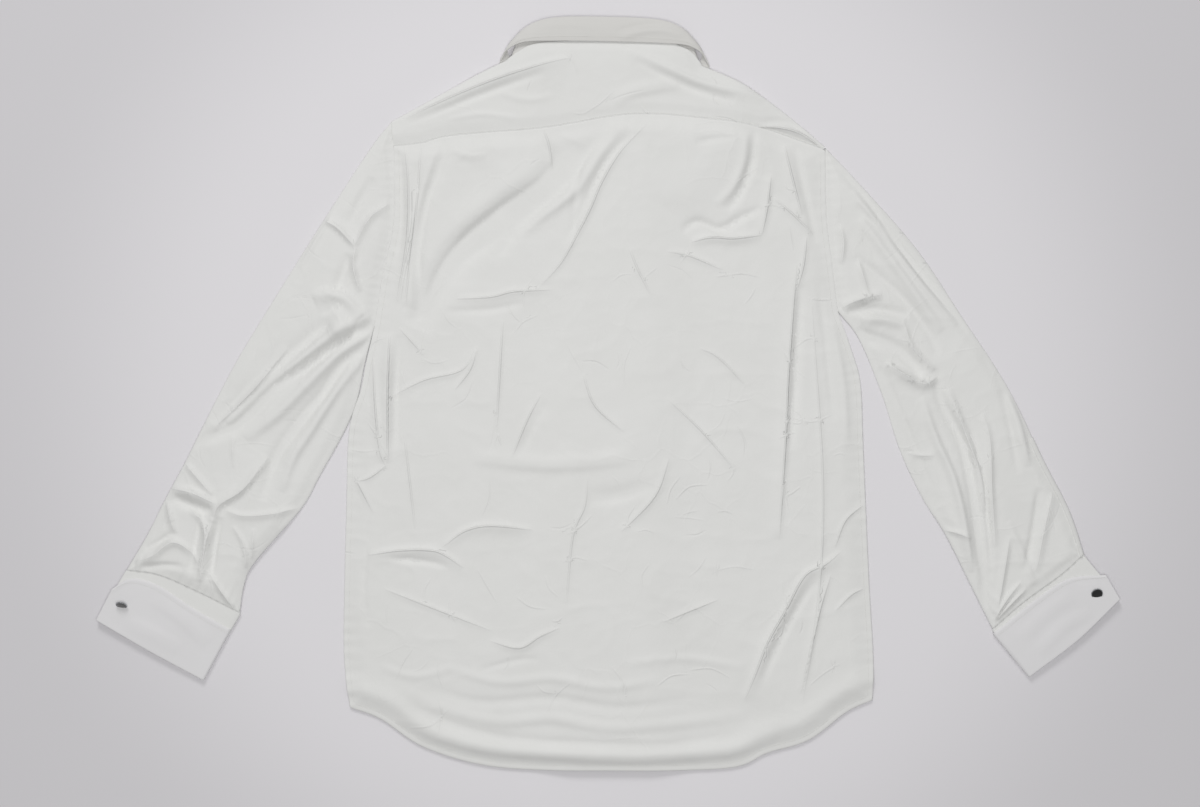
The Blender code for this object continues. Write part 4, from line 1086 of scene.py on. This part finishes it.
def gauntlet_surface(side):
    """The strip beside a sleeve's opening, laid on the sleeve's own surface."""
    ring = sleeve_surface(side)
    count = ring.shape[1]
    raised = ring + normals_of(ring, ring=True) * (size_of("cloth") * 0.8 + 0.25)
    if side == "left":
        raised = raised[:, ::-1]
    rows = len(ring)
    first = rows - 1 - GROUP * int(rows * 0.27 / GROUP)
    # The left strip lies wholly underneath. The right one turns round the edge and shows a little on top.
    columns = range(count - 10, count - 3) if side == "left" else range(count - 6, count + 10)
    picked = raised[first:, [k % count for k in columns]]
    return picked[:, ::-1] if side == "left" else picked


Cuff = namedtuple("Cuff", "seam fold edge link sign")
CUFFS = {
    "left": Cuff(CUFF_SEAM_LEFT, CUFF_LEFT_FOLD, CUFF_LEFT_EDGE, LINK_LEFT, 1),
    "right": Cuff(CUFF_SEAM_RIGHT, CUFF_RIGHT_FOLD, CUFF_RIGHT_EDGE, LINK_RIGHT, -1),
}
CUFF_STACK = 5.7
CUFF_TILT = 2.4
CUFF_COLUMNS = 84
CUFF_ROWS = 37


@cached
def cuff_surface(side):
    """A double cuff from its turned-back edge over the fold to the sleeve seam. Each row passes along the
    upper half from the open end, round the closed end and back along the lower half."""
    c = CUFFS[side]
    share = np.linspace(0, 1, CUFF_COLUMNS + 1)
    seam, fold, edge = (spread(smooth(line), share) for line in (c.seam, c.fold, c.edge))
    way = fold[-1] - fold[0]
    across = way / np.hypot(*way)
    down = np.array([across[1], -across[0]]) * c.sign
    seam = seam + down * 0.06
    half = CUFF_STACK / 2
    radius = CUFF_WALL + 0.2
    turned = fold - down * radius
    rows = [(edge * (1 - w) + turned * w, half) for w in np.linspace(0, 1, CUFF_ROWS)]
    for angle in np.linspace(0, np.pi, 9)[1:-1]:
        rows.append((fold - down * radius * (1 - np.sin(angle)), half - radius * (1 - np.cos(angle))))
    rows += [(turned * (1 - w) + seam * w, half - 2 * radius) for w in np.linspace(0, 1, 14)]
    bend = np.linspace(0, np.pi, 11)[1:-1]
    back = np.linspace(1, 0, GROUP * 14 + 1)
    lines = []
    for plan, height in rows:
        tilt = 0.05 + half + CUFF_TILT * (1 - share)
        upper = np.column_stack([plan, tilt + height])
        closed = [np.append(plan[-1] + across * height * np.sin(a), tilt[-1] + height * np.cos(a))
                  for a in bend]
        lower_plan = spread(plan, back[::-1])[::-1]
        lower = np.column_stack([lower_plan, 0.05 + half + CUFF_TILT * (1 - back) - height])
        lines.append(np.vstack([upper, closed, lower]))
    while (len(lines[0]) - 1) % GROUP:
        lines = [np.vstack([line[:-1], (line[-2:-1] + line[-1:]) / 2, line[-1:]]) for line in lines]
    while (len(lines) - 1) % GROUP:
        lines.append(lines[-1] + np.append(-down, 0.0) * 0.3)
    grid = np.array(lines)
    top = grid[:CUFF_ROWS, :CUFF_COLUMNS + 1]
    tx, ty = top[..., 0], top[..., 1]
    to_edge = beside(tx, ty, edge)[0]
    to_end = np.abs((tx - fold[0, 0]) * across[0] + (ty - fold[0, 1]) * across[1])
    to_fold = beside(tx, ty, fold)[0]
    border = np.minimum(np.minimum(to_edge, to_end), to_fold)
    hemmed = 0.3 * np.exp(-(((to_edge - 2.2) / 1.6) ** 2)) - 0.7 * rounded(to_edge, 2.0)
    top[..., 2] += 0.25 * ease(border / 22) + hemmed
    top[..., 2] += creased(tx, ty, CUFF_CREASES) + 0.35 * drift(tx, ty, 38, 151) * ease(border / 10)
    return grid[:, ::-1] if c.sign > 0 else grid


def right_half(stations):
    """A collar line's right half from its left one: a little narrower and set lower."""
    right = np.array(stations, float)
    right[:, 1] += right[:, 0] * COLLAR_RIGHT_DROP
    right[:, 0] *= -COLLAR_RIGHT_SHARE
    return right


def collar_line(stations):
    """A collar line from the wearer's left front round the back to the right front, in (x, y, height)."""
    return np.array(stations, float)[::-1], right_half(stations)


def lapped(stations):
    """A stand line whose ends pass the centre front, the right end lifted over the left."""
    lap, lift = 15.0, 1.6
    left, right = collar_line(stations)
    left[0, 0], left[1, 0] = CENTRE_X + lap, min(left[1, 0], CENTRE_X - 12)
    right[-1, 0], right[-2, 0] = CENTRE_X - lap, max(right[-2, 0], CENTRE_X + 12)
    right[-1, 2] += lift
    right[-2, 2] += 0.8 * lift
    right[-3, 2] += 0.2 * lift
    return smooth(np.vstack([left[:-1], right]), 10)


@cached
def collar_surfaces():
    """(stand, leaf), each a grid on the faces that look at the neck."""
    share = shares_for(450, 2.4)
    seam, top = spread(lapped(STAND_SEAM), share), spread(lapped(STAND_TOP), share)
    w = np.linspace(0, 1, 15)[:, None, None]
    stand = seam[None] * (1 - w) + top[None] * w
    lines = []
    for stations in (LEAF_FOLD, LEAF_EDGE):
        left, right = collar_line(stations)
        lines.append(spread(smooth(np.vstack([left[:-1], right]), 10), shares_for(470, 2.2)))
    fold, edge = lines
    w = np.linspace(0, 1, 27)[:, None, None]
    leaf = fold[None] * (1 - w) + edge[None] * w
    at_back = 1 - ease((394 - fold[:, 1]) / 22)
    arch = 1.3 * at_back[None, :] * 4 * w[..., 0] * (1 - w[..., 0])
    leaf[..., 1] += 0.55 * arch
    leaf[..., 2] += arch
    x, y = leaf[..., 0], leaf[..., 1]
    leaf[..., 2] += creased(x, y, LEAF_CREASES) * at_back[None] + 0.3 * drift(x, y, 40, 163) * at_back[None]
    to_edge = np.linalg.norm(leaf - edge[None], axis=2)
    leaf[..., 2] += at_back[None] * (0.35 * ease(to_edge / 5) - 0.15 * np.exp(-((to_edge - 6) ** 2)))
    return stand, leaf[:, ::-1]


# ---------------------------------------------------------------- operators


def length(name, description, default, precision=4):
    """A size in the panel, given in mm."""
    return FloatProperty(name=name, description=description, default=default * MM, unit="LENGTH",
                         precision=precision)


def colour(name, description, code):
    return FloatVectorProperty(name=name, description=description, default=linear(code)[:3], subtype="COLOR")


class ShirtSizes(PropertyGroup):
    """Sizes of the cloth and its sewing"""

    cloth: length("Cloth", "Wall of one layer", 0.9)
    interlining: length("Collar leaf", "Wall of the interlined leaf", 1.3)
    hem: length("Hem", "From the hem's edge to its stitches", 6)
    topstitch: length("Topstitch", "From a seam to the stitches beside it", 6)
    stitch_pitch: length("Stitch pitch", "From one stitch to the next", 2.4)
    thread: length("Thread", "Thread diameter", 0.38, 5)
    button: length("Button", "Diameter of a front button", 11.2)
    link: length("Link", "Diameter of a cufflink's face", 13)
    creasing: FloatProperty(name="Creasing", description="Strength of the creases", default=1.6, min=0.0,
                            max=2.5, subtype="FACTOR")
    crease_width: FloatProperty(name="Crease width", description="Share of each crease's own width",
                                default=0.66, min=0.2, max=1.5, subtype="FACTOR")


class ShirtColours(PropertyGroup):
    """Colours of the cloth, thread, buttons, links and surface"""

    cotton: colour("Cotton", "White cotton", "#E8E8E6")
    thread: colour("Thread", "Sewing thread", "#E4E4DF")
    button: colour("Button", "Shirt buttons", "#EDEBE3")
    enamel: colour("Enamel", "Cufflink faces", "#0B0B0C")
    steel: colour("Steel", "Cufflink metal", "#C9CBCE")
    floor: colour("Surface", "The surface below", "#E7E5E8")


class SHIRT_OT_back(Operator):
    """Make the back panel"""

    bl_idname = "shirt.back"
    bl_label = "Back"

    def execute(self, context):
        grid = back_surface()
        lines = pressed(grid, [*BACK_CREASES, *strays(211, 90, (-285, -400), (250, 250))])
        back = new_piece("shirt_back", [shell(grid, size_of("cloth"))], COTTON, "back_panel", lines=lines)
        return {"FINISHED"}


class SHIRT_OT_yoke(Operator):
    """Make the yoke with its turns over the shoulders"""

    bl_idname = "shirt.yoke"
    bl_label = "Yoke"

    def execute(self, context):
        cloth = size_of("cloth")
        grid = yoke_surface()
        lines = pressed(grid, [*YOKE_CREASES, *strays(223, 12, (-200, 280), (180, 360))])
        parts = [shell(grid, cloth), *(shell(flap, 0.85 * cloth) for flap in yoke_flaps())]
        yoke = new_piece("shirt_yoke", parts, COTTON, "yoke", lines=lines)
        return {"FINISHED"}


class SHIRT_OT_fronts(Operator):
    """Make both fronts and the button placket"""

    bl_idname = "shirt.fronts"
    bl_label = "Fronts"

    def execute(self, context):
        for side in ("left", "right"):
            grid = front_surface(side)
            part = shell(grid[:, ::-1], size_of("cloth"), upright=True)
            front = new_piece("shirt_front_" + side, [part], COTTON, "front_" + side)
        low, high = (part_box("front_placket")[k][1] / MM for k in (0, 1))
        x = np.linspace(CENTRE_X + PLACKET_WIDTH / 2 - 0.1, CENTRE_X - PLACKET_WIDTH / 2 + 0.1, 22)
        y = np.linspace(low, high, GROUP * 80 + 1)
        plan = np.dstack(np.meshgrid(x, y))
        to_side = PLACKET_WIDTH / 2 - np.abs(plan[..., 0] - CENTRE_X)
        z = 2.45 + 0.12 * np.exp(-(((to_side - 5) / 1.1) ** 2))
        z = z + 0.12 * crumple(plan[..., 0], plan[..., 1], 17, 173)
        part = shell(np.dstack([plan, z]), PLACKET_WALL)
        placket = new_piece("shirt_placket", [part], STIFF, "front_placket")
        return {"FINISHED"}


class SHIRT_OT_sleeves(Operator):
    """Make both sleeves and the strips beside their openings"""

    bl_idname = "shirt.sleeves"
    bl_label = "Sleeves"

    def execute(self, context):
        cloth = size_of("cloth")
        for side in ("left", "right"):
            ring = sleeve_surface(side)
            corners = ring[..., :2].min(axis=(0, 1)), ring[..., :2].max(axis=(0, 1))
            strewn = strays(SLEEVES[side].seed + 11, 130, *corners)
            away, rise = pressed(ring, [*SLEEVES[side].creases, *strewn])
            # Softer on a sleeve, whose creases already stand close, and none on the half it lies on
            lines = away, 0.5 * rise * (normals_of(ring, ring=True)[..., 2] > 0)
            part = shell(ring, cloth, ring=True)
            sleeve = new_piece("shirt_sleeve_" + side, [part], COTTON, "sleeve_" + side, 70, lines)
            part = shell(gauntlet_surface(side), 0.8 * cloth)
            strip = new_piece("shirt_gauntlet_" + side, [part], COTTON, "sleeve_placket_" + side, 70)
        return {"FINISHED"}


class SHIRT_OT_cuffs(Operator):
    """Make both turned-back double cuffs"""

    bl_idname = "shirt.cuffs"
    bl_label = "Cuffs"

    def execute(self, context):
        for side in ("left", "right"):
            grid = cuff_surface(side)
            cuff = new_piece("shirt_cuff_" + side, [shell(grid, CUFF_WALL)], STIFF, "cuff_" + side)
            # The turned-back half shows its stiffened inner face, and the strip below it the plain outer one.
            cuff.data.materials.append(finish(COTTON))
            rows, columns = (n - 1 for n in grid.shape[:2])
            hidden, low_rows, low_columns = rows * columns, rows // GROUP, columns // GROUP
            turned_rows = 13
            first, last = (hidden + count * low_columns for count in (turned_rows, low_rows))
            for face in cuff.data.polygons[first:last]:
                face.material_index = 1
        return {"FINISHED"}


class SHIRT_OT_collar(Operator):
    """Make the collar stand and the turned-down leaf"""

    bl_idname = "shirt.collar"
    bl_label = "Collar"

    def execute(self, context):
        stand, leaf = collar_surfaces()
        # Stand and leaf both take the collar finish, darkened as painted shade
        stand_piece = walled("shirt_collar_stand", stand, STAND_WALL, SHADED_COLLAR, "collar_stand")
        leaf_piece = walled("shirt_collar_leaf", leaf, size_of("interlining"), SHADED_COLLAR, "collar_leaf")
        return {"FINISHED"}


class SHIRT_OT_buttons(Operator):
    """Make the front and collar buttons, which face down"""

    bl_idname = "shirt.buttons"
    bl_label = "Buttons"

    def execute(self, context):
        r = size_of("button") / 2
        rim = [(0.3, 0.55), (r - 2.3, 0.55), (r - 1.8, 0.15), (r - 1.2, 0.0), (r - 0.5, 0.05), (r, 0.6),
               (r - 0.1, 1.3), (r - 0.9, 2.05), (0.3, 2.1)]
        points, faces = lathe(rim, (0.0, 0.0), 40)
        template = bpy.data.objects.new("button", bpy.data.meshes.new("button"))
        template.data.from_pydata((points * MM).tolist(), [], faces)
        places = np.array([(CENTRE_X, y, 0.0) for y in BUTTON_ROWS])
        buttons = grown("shirt_buttons", places, [], row_tree(),
                        {"Button": template, "Seed": 5, "Material": finish(RESIN)})
        buttons.data.set_sharp_from_angle(angle=np.radians(50))
        claim(buttons, RESIN, "collar_button", *(f"front_button_{k + 1}" for k in range(6)))
        bpy.data.objects.remove(template)
        # Thread crosses between the four holes
        arms = np.linspace(-1.5, 1.5, 5)[:, None]
        stitched("shirt_button_thread", [arms * np.array(way) + (CENTRE_X, y, 0.5) for y in BUTTON_ROWS
                                         for way in ((0.71, 0.71, 0), (0.71, -0.71, 0))])
        return {"FINISHED"}


class SHIRT_OT_links(Operator):
    """Make both cufflinks: steel stems and bezels, and domed black faces"""

    bl_idname = "shirt.links"
    bl_label = "Cufflinks"

    def execute(self, context):
        r = size_of("link") / 2
        tilts = (("left", LINK_LEFT, 0.98, -0.12), ("right", LINK_RIGHT, 0.5, 0.05))
        for side, (x, y), angle, about in tilts:
            low, high = (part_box(f"cufflink_{side}_body")[k][2] / MM for k in (0, 1))
            top = high - 1.4 + (2.4 if side == "left" else 0.3)
            foot = [(4.6, low + 0.1), (5.1, low + 0.5), (5.1, low + 1.1), (4.6, low + 1.5), (1.1, low + 1.6),
                    (1.0, top - 0.4)]
            ring = [(1.2, top - 0.5), (r - 1.2, top - 0.3), (r - 0.3, top + 0.1), (r, top + 0.6),
                    (r, top + 1.2), (r - 0.35, top + 1.6), (r - 0.75, top + 1.6), (r - 0.85, top + 1.25)]
            dome = [(r - 0.9, top + 1.27), (r - 1.05, top + 1.5), (0.62 * r, top + 1.78),
                    (0.3 * r, top + 1.92), (0.12, top + 1.97)]
            stem, bezel, face = (lathe(profile, (x, y)) for profile in (foot, ring, dome))
            pivot = np.array([x, y, top])
            bezel, face = ((tipped(points, pivot, angle, about), faces) for points, faces in (bezel, face))
            new_piece(f"cufflink_{side}_steel", [stem, bezel], STEEL, f"cufflink_{side}_body", 35)
            new_piece(f"cufflink_{side}_enamel", [face], ENAMEL, f"cufflink_{side}_face", 45)
        return {"FINISHED"}


class SHIRT_OT_stitching(Operator):
    """Sew the seams: hem, yoke, armholes, sides, collar and cuffs"""

    bl_idname = "shirt.stitching"
    bl_label = "Stitching"

    def execute(self, context):
        hem, seam, left, right = body_edges()
        back, yoke = back_surface(), yoke_surface()
        hem_in, beside_seam = size_of("hem"), size_of("topstitch")
        lines = [lifted(inset(hem, hem_in), back), lifted(inset(seam, 1.6), yoke)]
        lines += [lifted(inset(left, -beside_seam), back), lifted(inset(right, beside_seam), back)]
        stitched("stitches_body", lines)
        leaf = collar_surfaces()[1]
        row = leaf[22] + normals_of(leaf)[22] * (size_of("interlining") + 0.1)
        row[:, 2] = np.maximum(row[:, 2], 0.25)
        stitched("stitches_collar", [row])
        for side in ("left", "right"):
            cuff = cuff_surface(side)
            row = cuff[3] + normals_of(cuff)[3] * STITCH_LIFT
            upper = row[-CUFF_COLUMNS:-2] if CUFFS[side].sign > 0 else row[2:CUFF_COLUMNS]
            stitched("stitches_cuff_" + side, [upper])
        return {"FINISHED"}


class SHIRT_OT_stage(Operator):
    """Add the surface, the soft studio light and the camera straight above"""

    bl_idname = "shirt.stage"
    bl_label = "Stage"

    def execute(self, context):
        colours = context.scene.shirt_colours
        bpy.ops.mesh.primitive_plane_add(size=12.0, location=(0, 0, -0.0001))
        floor = context.object
        floor.name = "surface"
        material, tree, shader = new_material("matt paper surface")
        # Painted light falloff: a little darker away from the middle, where the lamps' light would fall off
        place = add_node(tree, "ShaderNodeTexCoord")
        away = add_node(tree, "ShaderNodeVectorMath", {0: (place, "Object")}, operation="LENGTH")
        painted_falloff = add_node(tree, "ShaderNodeMapRange",
                        {"Value": (away, "Value"), "From Min": 0.42, "From Max": 0.7},
                        interpolation_type="SMOOTHSTEP")
        tone = add_node(tree, "ShaderNodeValToRGB", {"Fac": (painted_falloff, "Result")})
        tone.color_ramp.elements[0].color = tuple(colours.floor) + (1.0,)
        tone.color_ramp.elements[1].color = tuple(0.87 * c for c in colours.floor) + (1.0,)
        tree.links.new(tone.outputs["Color"], shader.inputs["Base Color"])
        shader.inputs["Roughness"].default_value = 0.9
        shader.inputs["Specular IOR Level"].default_value = 0.2
        floor.data.materials.append(material)

        world = bpy.data.worlds.new("studio")
        world.use_nodes = True
        world.node_tree.nodes["Background"].inputs["Color"].default_value = linear("#FFFFFF")
        world.node_tree.nodes["Background"].inputs["Strength"].default_value = 0.27
        context.scene.world = world
        for name, place, size, power in (("key", (-0.6, 2.6, 2.1), 1.1, 38.0),
                                         ("overhead", (0.0, -0.25, 2.3), 1.0, 21.5)):
            light = bpy.data.lights.new(name, "AREA")
            light.size, light.energy = size, power
            lamp = bpy.data.objects.new(name, light)
            context.scene.collection.objects.link(lamp)
            lamp.location = place
            lamp.rotation_euler = (-lamp.location).to_track_quat("-Z", "Y").to_euler()

        camera = bpy.data.objects.new("camera", bpy.data.cameras.new("camera"))
        camera.data.lens, camera.data.sensor_width = 60.0, 36.0
        camera.location = (-9.35 * MM, -11.0 * MM, 2.2)
        context.scene.collection.objects.link(camera)
        context.scene.camera = camera
        context.scene.view_settings.view_transform = "Standard"
        return {"FINISHED"}


PIECES = (SHIRT_OT_back, SHIRT_OT_yoke, SHIRT_OT_fronts, SHIRT_OT_sleeves, SHIRT_OT_cuffs, SHIRT_OT_collar,
          SHIRT_OT_buttons, SHIRT_OT_links, SHIRT_OT_stitching, SHIRT_OT_stage)


class SHIRT_PT_panel(Panel):
    """The shirt's sizes, colours and pieces"""

    bl_label = "Dress shirt"
    bl_space_type = "VIEW_3D"
    bl_region_type = "UI"
    bl_category = "Shirt"

    def draw(self, context):
        for group in (context.scene.shirt_sizes, context.scene.shirt_colours):
            for key in group.__annotations__:
                self.layout.prop(group, key)
        for piece in PIECES:
            self.layout.operator(piece.bl_idname)


CLASSES = (ShirtSizes, ShirtColours, *PIECES, SHIRT_PT_panel)


def register():
    for cls in CLASSES:
        bpy.utils.register_class(cls)
    bpy.types.Scene.shirt_sizes = PointerProperty(type=ShirtSizes)
    bpy.types.Scene.shirt_colours = PointerProperty(type=ShirtColours)


def unregister():
    del bpy.types.Scene.shirt_colours
    del bpy.types.Scene.shirt_sizes
    for cls in reversed(CLASSES):
        bpy.utils.unregister_class(cls)


def main():
    register()
    for piece in PIECES:
        group, action = piece.bl_idname.split(".")
        getattr(getattr(bpy.ops, group), action)()


if __name__ == "__main__":
    main()
